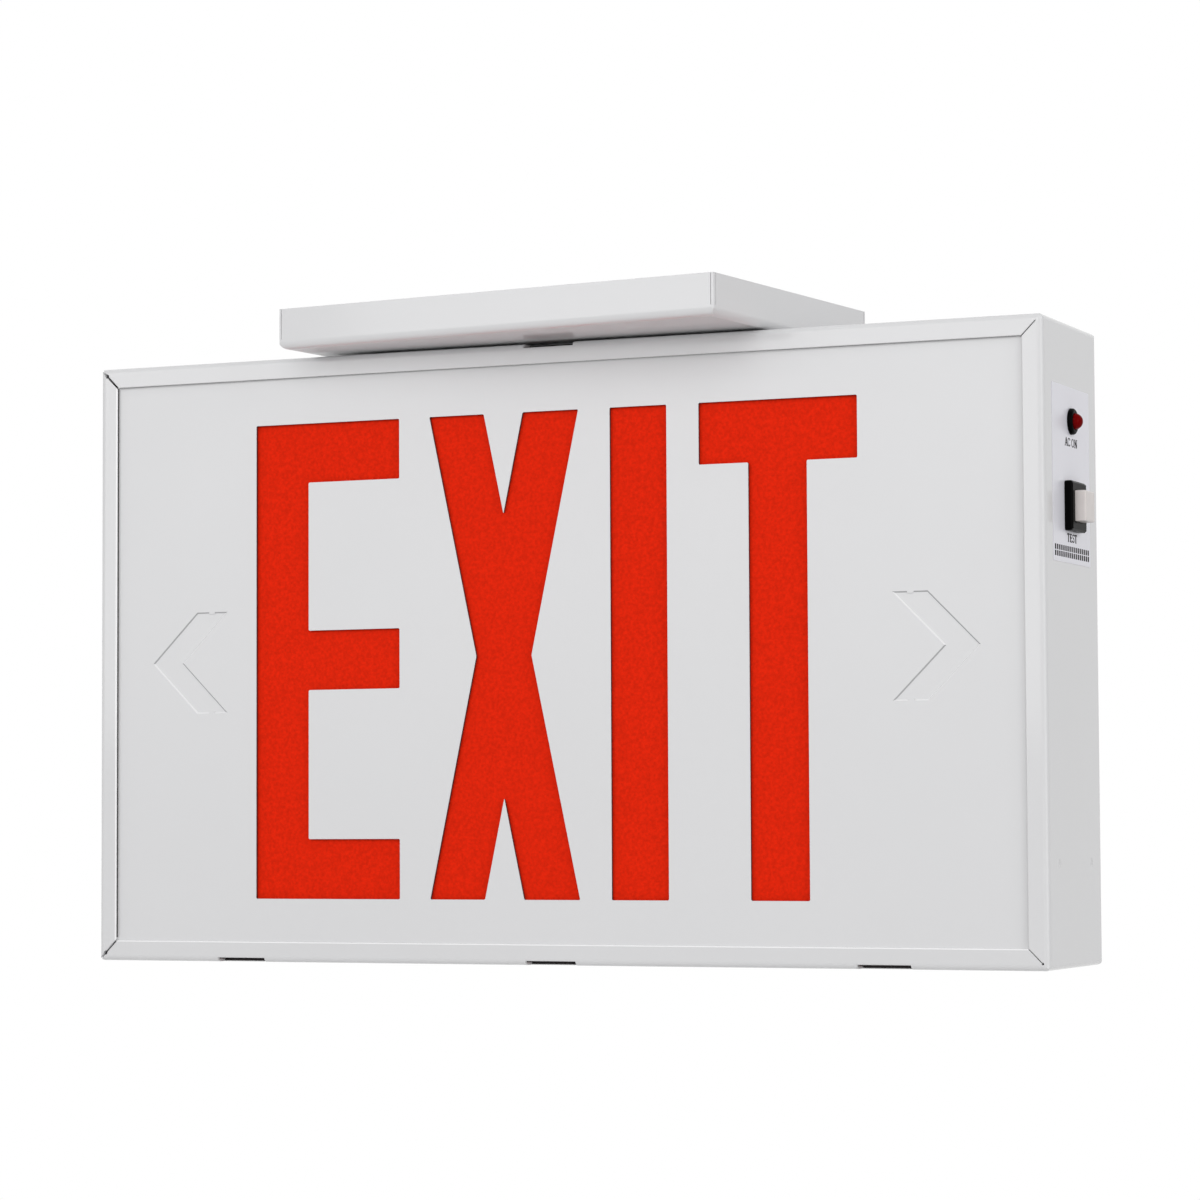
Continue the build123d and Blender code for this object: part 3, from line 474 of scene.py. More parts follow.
class Finish:
    """Material with a Principled surface, whose pattern is in the object's own coordinates."""

    def __init__(self, name, colour, roughness, metallic=0.0):
        self.material = bpy.data.materials.new(name)
        self.material.use_nodes = True
        self.tree = self.material.node_tree
        self.surface = self.tree.nodes["Principled BSDF"]
        self.place = self.tree.nodes.new("ShaderNodeTexCoord").outputs["Object"]
        self.normal = None
        self.set(Roughness=roughness, Metallic=metallic)
        self.surface.inputs["Base Color"].default_value = (*colour, 1.0)

    def set(self, **values):
        """Numbers on the Principled surface's own sockets, with _ for a space in their names."""
        for name, value in values.items():
            self.surface.inputs[name.replace("_", " ")].default_value = value
        return self

    def node(self, kind, **settings):
        """New node of the tree with the given settings."""
        made = self.tree.nodes.new(kind)
        for name, value in settings.items():
            setattr(made, name, value)
        return made

    def join(self, output, target):
        """Link from an output to an input."""
        self.tree.links.new(output, target)

    def stretched(self, scale):
        """Object coordinates scaled differently along x, y and z, for streaks and brush marks."""
        mapping = self.node("ShaderNodeMapping")
        mapping.inputs["Scale"].default_value = scale
        self.join(self.place, mapping.inputs["Vector"])
        return mapping.outputs["Vector"]

    def noise(self, size, detail=2.0, place=None):
        """Noise from 0 to 1 whose blobs are about size metres wide."""
        made = self.node("ShaderNodeTexNoise")
        made.inputs["Scale"].default_value = 1.0 / size
        made.inputs["Detail"].default_value = detail
        self.join(place or self.place, made.inputs["Vector"])
        return made.outputs["Fac"]

    def waves(self, size, axis):
        """Even bands along one axis, size metres from crest to crest."""
        made = self.node("ShaderNodeTexWave", bands_direction=axis)
        made.inputs["Scale"].default_value = 2 * math.pi / WAVES_IN_CIRCLE / size
        self.join(self.place, made.inputs["Vector"])
        return made.outputs["Fac"]

    def ranged(self, value, low, high, out_low, out_high):
        """Value moved from one range to another and held inside it."""
        made = self.node("ShaderNodeMapRange")
        made.inputs["From Min"].default_value = low
        made.inputs["From Max"].default_value = high
        made.inputs["To Min"].default_value = out_low
        made.inputs["To Max"].default_value = out_high
        self.join(value, made.inputs["Value"])
        return made.outputs["Result"]

    def coloured(self, factor, first, second):
        """Base colour between two colours, by factor."""
        made = self.node("ShaderNodeMix", data_type="RGBA")
        made.inputs[6].default_value = (*first, 1.0)
        made.inputs[7].default_value = (*second, 1.0)
        self.join(factor, made.inputs["Factor"])
        self.join(made.outputs[2], self.surface.inputs["Base Color"])
        return self

    def rough(self, factor, low, high):
        """Roughness from low to high, by factor."""
        self.join(self.ranged(factor, 0.0, 1.0, low, high), self.surface.inputs["Roughness"])
        return self

    def patched(self, colour, region, tilt=None):
        """Another colour where the object coordinates lie inside the region, which gives a low and a
        high value for each axis that counts. A tilt also limits it to surfaces that face up (1) or
        down (-1) by a value between the two given."""
        parts = self.node("ShaderNodeSeparateXYZ")
        self.join(self.place, parts.inputs["Vector"])
        tests = [self.within(parts.outputs[axis], low, high) for axis, (low, high) in region.items()]
        if tilt is not None:
            geometry = self.node("ShaderNodeNewGeometry")
            facing = self.node("ShaderNodeSeparateXYZ")
            self.join(geometry.outputs["True Normal"], facing.inputs["Vector"])
            tests.append(self.within(facing.outputs["Z"], *tilt))
        inside = tests[0]
        for test in tests[1:]:
            both = self.node("ShaderNodeMath", operation="MULTIPLY")
            self.join(inside, both.inputs[0])
            self.join(test, both.inputs[1])
            inside = both.outputs["Value"]
        base = self.surface.inputs["Base Color"]
        colour_before = base.links[0].from_socket
        made = self.node("ShaderNodeMix", data_type="RGBA")
        self.join(colour_before, made.inputs[6])
        made.inputs[7].default_value = (*colour, 1.0)
        self.join(inside, made.inputs["Factor"])
        self.join(made.outputs[2], base)
        return self

    def within(self, value, low, high):
        """One where value lies between low and high, and otherwise nought."""
        above = self.node("ShaderNodeMath", operation="GREATER_THAN")
        below = self.node("ShaderNodeMath", operation="LESS_THAN")
        both = self.node("ShaderNodeMath", operation="MULTIPLY")
        above.inputs[1].default_value = low
        below.inputs[1].default_value = high
        for test, slot in ((above, 0), (below, 1)):
            self.join(value, test.inputs[0])
            self.join(test.outputs["Value"], both.inputs[slot])
        return both.outputs["Value"]

    def raised(self, height, depth):
        """Bump of the given depth in metres, laid over the bumps before it."""
        made = self.node("ShaderNodeBump")
        made.inputs["Distance"].default_value = depth
        self.join(height, made.inputs["Height"])
        if self.normal is not None:
            self.join(self.normal, made.inputs["Normal"])
        self.normal = made.outputs["Normal"]
        self.join(self.normal, self.surface.inputs["Normal"])
        return self

    def eased(self, radius):
        """Edges that shade as if rounded to the given radius."""
        made = self.node("ShaderNodeBevel", samples=6)
        made.inputs["Radius"].default_value = radius
        self.normal = made.outputs["Normal"]
        self.join(self.normal, self.surface.inputs["Normal"])
        return self


def shade(colour, factor):
    """Colour made lighter or darker."""
    return tuple(min(1.0, channel * factor) for channel in colour)


def dress(finish, *nodes):
    """Gives CAD nodes a finish."""
    for name in nodes:
        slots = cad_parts[name].material_slots
        if slots:
            slots[0].material = finish.material
        else:
            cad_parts[name].data.materials.append(finish.material)


def mount_piece(piece, finish, body, replaced=()):
    """Gives a new piece its finish and body, and hides the CAD nodes that it stands for."""
    piece.data.materials.append(finish.material)
    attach(piece, body)
    if replaced:
        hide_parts(*replaced)


def painted(name, colour, roughness, peel, wave, ease=0.5 * MM):
    """Stoved paint: a smooth coat with fine orange peel, on a sheet with long shallow waves."""
    finish = Finish(name, colour, roughness)
    finish.eased(ease)
    finish.coloured(finish.noise(60 * MM), shade(colour, 0.985), shade(colour, 1.01))
    finish.rough(finish.noise(20 * MM), roughness * 0.85, roughness * 1.15)
    finish.raised(finish.noise(35 * MM, detail=1.0), wave)
    finish.raised(finish.noise(1.6 * MM, detail=2.0), peel)
    return finish


def zinc_plate(name, colour):
    """Bright zinc on cold-rolled sheet: soft streaks of the rolling and a cloudy shine."""
    finish = Finish(name, colour, 0.32, metallic=1.0)
    finish.eased(0.2 * MM)
    streaks = finish.noise(0.6 * MM, detail=3.0, place=finish.stretched((0.05, 1.0, 1.0)))
    finish.coloured(finish.noise(6 * MM, detail=3.0), shade(colour, 0.86), shade(colour, 1.08))
    finish.rough(streaks, 0.24, 0.42)
    finish.raised(streaks, 0.003 * MM)
    return finish


def moulded(name, colour, roughness, ease=0.2 * MM, shine=0.5):
    """Moulded plastic with a fine skin and slightly uneven gloss."""
    finish = Finish(name, colour, roughness)
    finish.set(Specular_IOR_Level=shine)
    finish.eased(ease)
    finish.coloured(finish.noise(4 * MM), shade(colour, 0.94), shade(colour, 1.04))
    finish.rough(finish.noise(3 * MM), roughness * 0.85, roughness * 1.2)
    finish.raised(finish.noise(0.35 * MM, detail=2.0), 0.0025 * MM)
    return finish


# Letters of the captions, each a list of (stroke width, points), in heights of the letter


def oval(centre, radii, start, end, steps=20):
    """Points on an oval from angle start to angle end in degrees."""
    angle = np.radians(np.linspace(start, end, steps))
    return np.column_stack([centre[0] + radii[0] * np.cos(angle), centre[1] + radii[1] * np.sin(angle)])


# Widths of the thick and thin strokes and of the feet in letter heights, and how far letters are stretched
THICK, THIN, FOOT = 0.28, 0.14, 0.10
STRETCH = 1.45


def foot(x, z, half=0.15):
    """Short bar across the end of a stroke."""
    return (FOOT, [(x - half, z), (x + half, z)])


def letter_strokes(letter):
    """Width of the letter and its strokes."""
    top, base = 1 - FOOT / 2, FOOT / 2
    if letter == "A":
        strokes = [(THIN, [(0.10, base), (0.37, 1.0)]), (THICK, [(0.37, 0.97), (0.66, base)])]
        strokes.append((FOOT, [(0.19, 0.34), (0.55, 0.34)]))
        return 0.78, strokes + [foot(0.11, base, 0.12), foot(0.65, base)]
    if letter == "C":
        bowl = (0.125, oval((0.38, 0.5), (0.31, 0.44), 42, 318))
        return 0.72, [bowl, (THIN, [(0.62, 0.70), (0.62, 0.92)]), (THIN, [(0.62, 0.10), (0.62, 0.28)])]
    if letter == "O":
        return 0.80, [(0.125, oval((0.39, 0.5), (0.32, 0.44), 0, 342)[:-1])]
    if letter == "N":
        strokes = [(THIN, [(0.15, base), (0.15, top)]), (THIN, [(0.66, base), (0.66, top)])]
        strokes.append((THICK, [(0.17, 0.95), (0.64, 0.06)]))
        return 0.84, strokes + [foot(0.14, top, 0.12), foot(0.15, base, 0.13), foot(0.66, top, 0.13)]
    if letter == "T":
        strokes = [(THICK, [(0.34, base), (0.34, top)]), (FOOT, [(0.04, top), (0.64, top)])]
        ticks = [(THIN, [(0.06, 0.78), (0.06, top)]), (THIN, [(0.62, 0.78), (0.62, top)])]
        return 0.72, strokes + ticks + [foot(0.34, base)]
    if letter == "E":
        strokes = [(THICK, [(0.20, base), (0.20, top)])]
        strokes += [(FOOT, [(0.06, z), (x, z)]) for z, x in ((base, 0.60), (0.52, 0.46), (top, 0.56))]
        ticks = [(THIN, [(0.60, base), (0.60, 0.24)]), (THIN, [(0.56, 0.78), (0.56, top)])]
        return 0.70, strokes + ticks + [(THIN, [(0.46, 0.42), (0.46, 0.62)])]
    if letter == "S":
        upper = oval((0.30, 0.73), (0.185, 0.20), 30, 270, 14)
        lower = oval((0.30, 0.29), (0.20, 0.22), 90, -150, 14)
        ticks = [(THIN, [(0.49, 0.76), (0.49, 0.95)]), (THIN, [(0.09, 0.05), (0.09, 0.26)])]
        return 0.60, [(0.13, np.concatenate([upper, lower[1:]]))] + ticks
    raise ValueError(f"no strokes for {letter}")


def caption(words, height, middle, foot_z, base, depth):
    """Ribbons of a caption centred on middle, with its feet at foot_z."""
    placed, across = [], 0.0
    for letter in words:
        if letter == " ":
            across += WORD_GAP
            continue
        width, strokes = letter_strokes(letter)
        placed.append((across, strokes, letter))
        across += width
    ribbons = []
    for start, strokes, letter in placed:
        for width, points in strokes:
            path = np.array(points, float) + (start - across / 2, 0.0)
            path = path * (height * STRETCH, height) + (middle, foot_z)
            ribbons.append(ribbon(path, width * height, base, depth, closed=letter == "O"))
    return ribbons


# Operators


class EXITLIGHT_OT_sheet_metal(Operator):
    """White paint on the housing, end cap, plates and canopy, and matt white on the reflector"""

    bl_idname = "exitlight.sheet_metal"
    bl_label = "Sheet metal"

    def execute(self, context):
        paint = context.scene.exitlight_paint
        colour = tuple(paint.colour)
        gloss = painted("white_paint", colour, paint.roughness, paint.peel, paint.wave, 0.15 * MM)
        dress(gloss, "canopy", "back_plate")

        low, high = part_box("housing")
        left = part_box("end_cap")[0].x
        steel_and_shade = tuple(paint.cut_steel_and_shade)
        lip_edge_highlight = tuple(paint.lip_edge_highlight)
        frame_paint = painted("white_paint_frame", colour, paint.roughness, paint.peel, paint.wave)

        # Near-black bare steel in the thickness of the lips, clear of the bends and of the lower lip: partly
        # the cut edge's steel, partly painted shade
        inside_sheet = (low.y + PAINT_WRAP, low.y + SHEET_T - PAINT_SKIN)
        between_bends = (left + BEND_ZONE, high.x - BEND_ZONE)
        above_lip = (low.z + LIP_W + MM, high.z - BEND_ZONE)
        frame_paint.patched(steel_and_shade, {"X": between_bends, "Y": inside_sheet, "Z": above_lip})

        # Painted highlights on the front, along the inner edges of the lower and the left lip
        face = (low.y - MM, low.y + PAINT_WRAP)
        across = (left + LIP_W, high.x - LIP_W)
        lower_edge = (low.z + LIP_W - LOWER_HIGHLIGHT_W, low.z + LIP_W + MM)
        frame_paint.patched(lip_edge_highlight, {"X": across, "Y": face, "Z": lower_edge})
        upright = (low.z + LIP_W, high.z - LIP_W)
        left_edge = (left + LIP_W - LEFT_HIGHLIGHT_W, left + LIP_W + MM)
        frame_paint.patched(lip_edge_highlight, {"X": left_edge, "Y": face, "Z": upright})
        dress(frame_paint, "housing", "end_cap")

        # The face plate is duller than the frame. Its knock-outs' shoulders get painted shade where they face
        # down and painted highlight where they face up, and its legend's edges are near-black bare steel,
        # partly painted shade
        duller = paint.roughness * 3
        plate = painted("white_paint_plate", colour, duller, paint.peel * 1.5, paint.wave * 0.6, 0.08 * MM)
        low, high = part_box("face_plate")
        shoulder = (low.y - MM, low.y + SHOULDER_DEPTH)
        # Painted shade on the shoulders that face down, painted highlight on those that face up
        plate.patched(tuple(paint.shoulder_painted_shade), {"Y": shoulder}, FACING_DOWN)
        plate.patched(tuple(paint.shoulder_painted_highlight), {"Y": shoulder}, FACING_UP)
        cut = (low.y + PAINT_WRAP, high.y - PAINT_SKIN)
        # Near-black legend edges: bare steel, partly painted shade
        plate.patched(steel_and_shade, {"X": (-LEGEND_HALF_W, LEGEND_HALF_W), "Y": cut})
        dress(plate, "face_plate")

        matt = painted("reflector_white", (0.86, 0.86, 0.85), 0.6, paint.peel * 2, paint.wave)
        dress(matt, "reflector_pan")
        return {"FINISHED"}


class EXITLIGHT_OT_red_panel(Operator):
    """Red acrylic behind the cut-out legend"""

    bl_idname = "exitlight.red_panel"
    bl_label = "Red panel"

    def execute(self, context):
        legend = context.scene.exitlight_legend
        colour = tuple(legend.colour)
        finish = Finish("red_acrylic", colour, 0.55)
        finish.set(Specular_IOR_Level=0.02)
        grain = finish.ranged(finish.noise(legend.grain, detail=3.0), 0.3, 0.7, 0.0, 1.0)
        finish.coloured(grain, shade(colour, 0.88), shade(colour, 1.12))
        finish.raised(finish.noise(legend.grain * 0.6, detail=2.0), 0.012 * MM)
        dress(finish, "red_diffuser")
        return {"FINISHED"}


class EXITLIGHT_OT_hardware(Operator):
    """Zinc plate on bracket, nuts, crossbar and screws, rails painted near black as shade in the housing's
    slots, and the green ground screw
    """

    bl_idname = "exitlight.hardware"
    bl_label = "Hardware"

    def execute(self, context):
        hardware = context.scene.exitlight_hardware
        zinc = zinc_plate("zinc_plate", tuple(hardware.zinc))
        dress(zinc, "battery_bracket", "crossbar", "lock_nuts", "spacer_washer")
        dress(zinc, "end_cap_screws", "board_screws")
        # Rails near black so that the housing's slots show dark: painted shade
        rails = Finish("blackened_steel", (0.012, 0.010, 0.011), 0.4)
        rails.set(Specular_IOR_Level=0.15)
        rails.coloured(rails.noise(3 * MM), (0.010, 0.008, 0.009), (0.018, 0.014, 0.015))
        rails.rough(rails.noise(1 * MM), 0.3, 0.5)
        rails.eased(0.1 * MM)
        dress(rails, "upper_face_rail", "lower_face_rail", "upper_back_rail", "lower_back_rail")
        green = Finish("ground_green", (0.03, 0.24, 0.07), 0.35, metallic=0.6)
        green.coloured(green.noise(1.2 * MM), (0.02, 0.18, 0.05), (0.05, 0.30, 0.10))
        green.eased(0.2 * MM)
        dress(green, "ground_screw")
        return {"FINISHED"}


class EXITLIGHT_OT_stem(Operator):
    """Threaded hollow stem that carries the sign under its canopy"""

    bl_idname = "exitlight.stem"
    bl_label = "Threaded stem"

    def execute(self, context):
        hardware = context.scene.exitlight_hardware
        middle = (STEM_LOW + STEM_HIGH) / 2
        crest = (STEM_HIGH.x - STEM_LOW.x) / 2
        tube = threaded_tube(middle, crest, hardware.pitch, hardware.thread_depth)
        piece = new_piece("threaded_stem", *tube)
        mount_piece(piece, zinc_plate("stem_zinc", tuple(hardware.zinc)), "sign", ["stem"])
        return {"FINISHED"}


def threaded_tube(middle, crest, pitch, depth):
    """Hollow stem with a thread. At angle a and height z the outside radius is
    crest - depth * |2 f - 1| where f is the fractional part of z / pitch - a / 2 pi,
    and it falls off over one depth at each end."""
    bore_r, steps, rows_per_turn = 4.6 * MM, 72, 8
    length = STEM_HIGH.z - STEM_LOW.z
    rows = int(length / pitch * rows_per_turn)
    height = np.linspace(0, length, rows)
    angle = np.linspace(0, 2 * math.pi, steps, endpoint=False)
    turn = (height[:, None] / pitch - angle[None, :] / (2 * math.pi)) % 1.0
    radius = crest - depth * np.abs(2 * turn - 1)
    to_end = np.minimum(height, length - height)[:, None]
    radius = np.minimum(radius, crest - depth + to_end)
    outside = np.stack([radius * np.cos(angle), radius * np.sin(angle), height[:, None] + 0 * radius], -1)
    inside = []
    for z in (length, 0.0):
        inside.append(np.column_stack([bore_r * np.cos(angle), bore_r * np.sin(angle), np.full(steps, z)]))
    points = np.concatenate([outside, np.array(inside)]).reshape(-1, 3)
    points += (middle.x, middle.y, STEM_LOW.z)
    faces = grid_faces(rows + 2, steps, wrap_rows=True)
    return points, faces.tolist()


class EXITLIGHT_OT_indicator(Operator):
    """Round black lamp holder and the red lamp in it"""

    bl_idname = "exitlight.indicator"
    bl_label = "Indicator lamp"

    def execute(self, context):
        centre = (0.0, LAMP_MIDDLE.y, LAMP_MIDDLE.z)
        black = moulded("holder_black", (0.002, 0.002, 0.002), 0.25, shine=0.02)
        piece = new_piece("indicator_ring", *lamp_holder(centre))
        mount_piece(piece, black, "sign", ["indicator_bezel"])

        lens = Finish("lamp_red", (0.17, 0.001, 0.001), 0.06)
        lens.set(Specular_IOR_Level=0.02)
        lens.coloured(lens.noise(1.5 * MM), (0.15, 0.0006, 0.0008), (0.20, 0.001, 0.0015))
        lens.raised(lens.noise(1 * MM), 0.002 * MM)
        piece = new_piece("indicator_lens", *lamp_body(centre))
        mount_piece(piece, lens, "sign", ["indicator_lamp"])
        return {"FINISHED"}


def lamp_holder(centre):
    """Ring and tube turned about the lamp's axis: the ring's outer edge is a quarter round."""
    ring_r = (RING_HIGH.z - RING_LOW.z) / 2
    face, back = RING_HIGH.x, RING_LOW.x
    edge, tube_r, bore_r, chamfer = 0.9 * MM, 3.1 * MM, 2.55 * MM, 0.3 * MM
    profile = [(back, bore_r), (back, tube_r), (LABEL_FACE_X, tube_r), (LABEL_FACE_X, ring_r)]
    profile += arc((face - edge, ring_r - edge), edge, 90, 0, 8)
    profile += [(face, bore_r + chamfer), (face - chamfer, bore_r)]
    points, faces = turned(profile, centre, (1, 0, 0), steps=72, closed=True)
    return points, faces.tolist()


def lamp_body(centre):
    """Lamp turned about its axis: flange, barrel and a half-round end, with two square pins behind."""
    lamp_r = 2.5 * MM
    flange_r = (LAMP_HIGH.z - LAMP_LOW.z) / 2
    pin_l, flange_t, pin_w, pin_gap = 6.0 * MM, 1.0 * MM, 0.5 * MM, 2.54 * MM
    back = LAMP_LOW.x + pin_l
    dome = LAMP_HIGH.x - lamp_r
    profile = [(back, 0.0), (back, flange_r), (back + flange_t, flange_r), (back + flange_t, lamp_r)]
    profile += arc((dome, 0.0), lamp_r, 90, 0, 14)
    pieces = [turned(profile, centre, (1, 0, 0), steps=48)]
    for side in (-1, 1):
        z = centre[2] + side * pin_gap / 2
        low = (LAMP_LOW.x, centre[1] - pin_w / 2, z - pin_w / 2)
        high = (back, centre[1] + pin_w / 2, z + pin_w / 2)
        pieces.append(box_piece(low, high))
    return joined(pieces)


class EXITLIGHT_OT_switch(Operator):
    """Test switch: black body, white button, and its contacts and spring"""

    bl_idname = "exitlight.switch"
    bl_label = "Test switch"

    def execute(self, context):
        dress(moulded("switch_black", (0.002, 0.002, 0.002), 0.25, ease=0.4 * MM, shine=0.02), "switch_body")
        dress(moulded("button_white", (0.74, 0.69, 0.67), 0.35), "test_button")
        brass = Finish("contact_brass", (0.72, 0.50, 0.20), 0.28, metallic=1.0)
        brass.coloured(brass.noise(1.5 * MM), (0.66, 0.45, 0.17), (0.78, 0.56, 0.25))
        dress(brass, "contact_bridge", "switch_terminals")
        wire = Finish("spring_wire", (0.50, 0.50, 0.51), 0.25, metallic=1.0)
        wire.rough(wire.noise(0.8 * MM), 0.18, 0.34)
        dress(wire, "button_spring")
        low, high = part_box("button_spring")
        piece = new_piece("return_spring", *coil_spring(low, high, SPRING_WIRE_R, SPRING_TURNS))
        mount_piece(piece, wire, "sign", ["button_spring"])
        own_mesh(piece)
        return {"FINISHED"}


def coil_spring(low, high, wire_r, turns):
    """Round wire along a helix about x. At share u of its length the wire's middle lies at
    low.x + wire_r + u * rise, and at radius r and angle 2 pi * turns * u about the axis, and a point of
    the wire at angle v lies wire_r * (cos v * outwards + sin v * sideways) from there."""
    turn_steps, wire_steps = 32, 10
    steps = int(turns * turn_steps) + 1
    radius = (high.z - low.z) / 2 - wire_r
    middle = np.array([0.0, (low.y + high.y) / 2, (low.z + high.z) / 2])
    share = np.linspace(0.0, 1.0, steps)
    angle = 2 * math.pi * turns * share
    rise = high.x - low.x - 2 * wire_r
    nothing = np.zeros(steps)
    outwards = np.column_stack([nothing, np.cos(angle), np.sin(angle)])
    line = middle + outwards * radius
    line[:, 0] = low.x + wire_r + share * rise
    along = np.column_stack([nothing, -np.sin(angle), np.cos(angle)]) * (2 * math.pi * turns * radius)
    along[:, 0] = rise
    along /= np.linalg.norm(along, axis=1, keepdims=True)
    sideways = np.cross(along, outwards)
    v = np.linspace(0, 2 * math.pi, wire_steps, endpoint=False)[None, :, None]
    points = line[:, None, :] + wire_r * (np.cos(v) * outwards[:, None, :] + np.sin(v) * sideways[:, None, :])
    faces = grid_faces(steps, wire_steps).tolist()
    last = (steps - 1) * wire_steps
    faces.append(list(range(wire_steps))[::-1])
    faces.append(list(range(last, last + wire_steps)))
    return points.reshape(-1, 3), faces


class EXITLIGHT_OT_label(Operator):
    """Side label with its two captions and rows of bars"""

    bl_idname = "exitlight.label"
    bl_label = "Side label"

    def execute(self, context):
        settings = context.scene.exitlight_print
        film = Finish("label_film", (0.82, 0.815, 0.875), 0.30)
        film.coloured(film.noise(20 * MM), (0.81, 0.805, 0.865), (0.83, 0.825, 0.885))
        film.raised(film.noise(0.8 * MM, detail=2.0), 0.002 * MM)
        dress(film, "side_label")

        ink = Finish("label_ink", tuple(settings.ink), 0.5)
        ink.set(Specular_IOR_Level=0.0)
        ink.coloured(ink.noise(0.6 * MM), shade(settings.ink, 0.8), shade(settings.ink, 1.3))
        face = LABEL_FACE_X
        middle = LAMP_MIDDLE.y
        depth = settings.ink_depth
        ribbons = caption("AC ON", settings.lamp_caption_height, middle, LAMP_CAPTION_FOOT, face, depth)
        ribbons += caption("TEST", settings.switch_caption_height, middle, SWITCH_CAPTION_FOOT, face, depth)
        piece = new_piece("label_captions", *joined(ribbons))
        mount_piece(piece, ink, "sign")

        bars = []
        for foot_z in BAR_FEET:
            for y in np.linspace(BAR_FIRST_Y, BAR_LAST_Y, settings.bar_count):
                path = [(y, foot_z), (y, foot_z + BAR_H)]
                bars.append(ribbon(path, BAR_W, face, depth))
        piece = new_piece("label_bars", *joined(bars))
        mount_piece(piece, ink, "sign")
        return {"FINISHED"}


class EXITLIGHT_OT_electronics(Operator):
    """Circuit board, its components and the light boards"""

    bl_idname = "exitlight.electronics"
    bl_label = "Electronics"

    def execute(self, context):
        board = Finish("board_green", (0.02, 0.16, 0.05), 0.35)
        tracks = board.node("ShaderNodeTexBrick")
        tracks.inputs["Scale"].default_value = 120.0
        tracks.inputs["Mortar Size"].default_value = 0.012
        board.join(board.place, tracks.inputs["Vector"])
        board.coloured(tracks.outputs["Fac"], (0.015, 0.14, 0.045), (0.03, 0.22, 0.08))
        board.raised(tracks.outputs["Fac"], 0.03 * MM)
        dress(board, "circuit_board")
        white_board = moulded("board_white", (0.80, 0.80, 0.78), 0.4)
        dress(white_board, "upper_light_board", "lower_light_board")

        core = Finish("core_laminations", (0.10, 0.10, 0.11), 0.45, metallic=0.7)
        core.coloured(core.waves(0.5 * MM, "Z"), (0.06, 0.06, 0.07), (0.16, 0.15, 0.15))
        core.raised(core.waves(0.5 * MM, "Z"), 0.04 * MM)
        dress(core, "transformer_core")
        tape = moulded("winding_tape", (0.72, 0.50, 0.06), 0.3)
        dress(tape, "transformer_winding")
        dress(moulded("can_sleeve", (0.012, 0.015, 0.04), 0.25), "capacitors")
        dress(moulded("epoxy_black", (0.02, 0.02, 0.02), 0.5), "regulator")
        sink = Finish("sink_aluminium", (0.72, 0.73, 0.74), 0.35, metallic=1.0)
        brushed = sink.noise(0.4 * MM, detail=3.0, place=sink.stretched((1.0, 0.04, 1.0)))
        sink.rough(brushed, 0.28, 0.48)
        sink.raised(brushed, 0.004 * MM)
        dress(sink, "heat_sink")
        dress(moulded("terminal_green", (0.02, 0.22, 0.06), 0.4), "supply_terminals")
        nylon = moulded("header_nylon", (0.78, 0.76, 0.68), 0.4)
        dress(nylon, "lead_header", "board_spacers")
        dress(moulded("led_case", (0.85, 0.80, 0.50), 0.35), "upper_leds", "lower_leds")
        return {"FINISHED"}


class EXITLIGHT_OT_battery(Operator):
    """Battery pack, its tie and the leads"""

    bl_idname = "exitlight.battery"
    bl_label = "Battery and leads"

    def execute(self, context):
        sleeve = moulded("battery_sleeve", (0.03, 0.12, 0.30), 0.22, ease=0.4 * MM)
        dress(sleeve, "battery_pack")
        tie = moulded("tie_nylon", (0.78, 0.78, 0.74), 0.4)
        tie.raised(tie.waves(1.1 * MM, "Z"), 0.12 * MM)
        dress(tie, "battery_tie")
        leads = Finish("lead_sleeve", (0.5, 0.5, 0.5), 0.5)
        leads.coloured(leads.noise(4 * MM), (0.46, 0.46, 0.46), (0.55, 0.55, 0.55))
        leads.raised(leads.noise(0.5 * MM), 0.01 * MM)
        names = ("battery", "switch", "indicator", "upper_light", "lower_light")
        dress(leads, *[f"{name}_lead" for name in names])
        return {"FINISHED"}


# Lamps: name, place, width and height, and whether shiny surfaces mirror it. All face the sign's middle.
LAMPS = (
    ("key", (-0.7, -1.7, 0.6), (1.2, 1.0), True),
    ("fill", (0.4, -1.7, 0.9), (1.2, 1.0), True),
    ("side", (1.5, -0.6, 0.5), (0.8, 1.2), True),
    ("back", (-0.8, 1.5, 0.8), (1.4, 1.0), False),
)
LAMP_AIM = (0.0, 0.0, 0.1)


def lamp(name, place, size, power, mirrored):
    """Rectangular lamp that faces the sign. An unmirrored one isn't seen in shiny surfaces."""
    data = bpy.data.lights.new(name, "AREA")
    data.shape = "RECTANGLE"
    data.size, data.size_y = size
    data.energy = power
    lamp_object = bpy.data.objects.new(name, data)
    lamp_object.visible_glossy = mirrored
    facing = (Vector(LAMP_AIM) - Vector(place)).to_track_quat("-Z", "Y")
    lamp_object.matrix_world = Matrix.Translation(Vector(place)) @ facing.to_matrix().to_4x4()
    bpy.context.scene.collection.objects.link(lamp_object)


def seen_rays(tree):
    """One for rays from the camera, in reflections and through clear parts, and otherwise nought."""
    path = tree.nodes.new("ShaderNodeLightPath")
    seen = path.outputs["Is Camera Ray"]
    for ray in ("Is Glossy Ray", "Is Transmission Ray"):
        either = tree.nodes.new("ShaderNodeMath")
        either.operation = "MAXIMUM"
        tree.links.new(seen, either.inputs[0])
        tree.links.new(path.outputs[ray], either.inputs[1])
        seen = either.outputs["Value"]
    return seen


def surroundings(strength):
    """White world: pure white to the camera and in reflections, and the given strength as light."""
    world = bpy.data.worlds.new("studio")
    bpy.context.scene.world = world
    world.use_nodes = True
    tree = world.node_tree
    background = tree.nodes["Background"]
    background.inputs["Color"].default_value = (1.0, 1.0, 1.0, 1.0)
    level = tree.nodes.new("ShaderNodeMapRange")
    level.inputs["To Min"].default_value = strength
    level.inputs["To Max"].default_value = 1.0
    tree.links.new(seen_rays(tree), level.inputs["Value"])
    tree.links.new(level.outputs["Result"], background.inputs["Strength"])


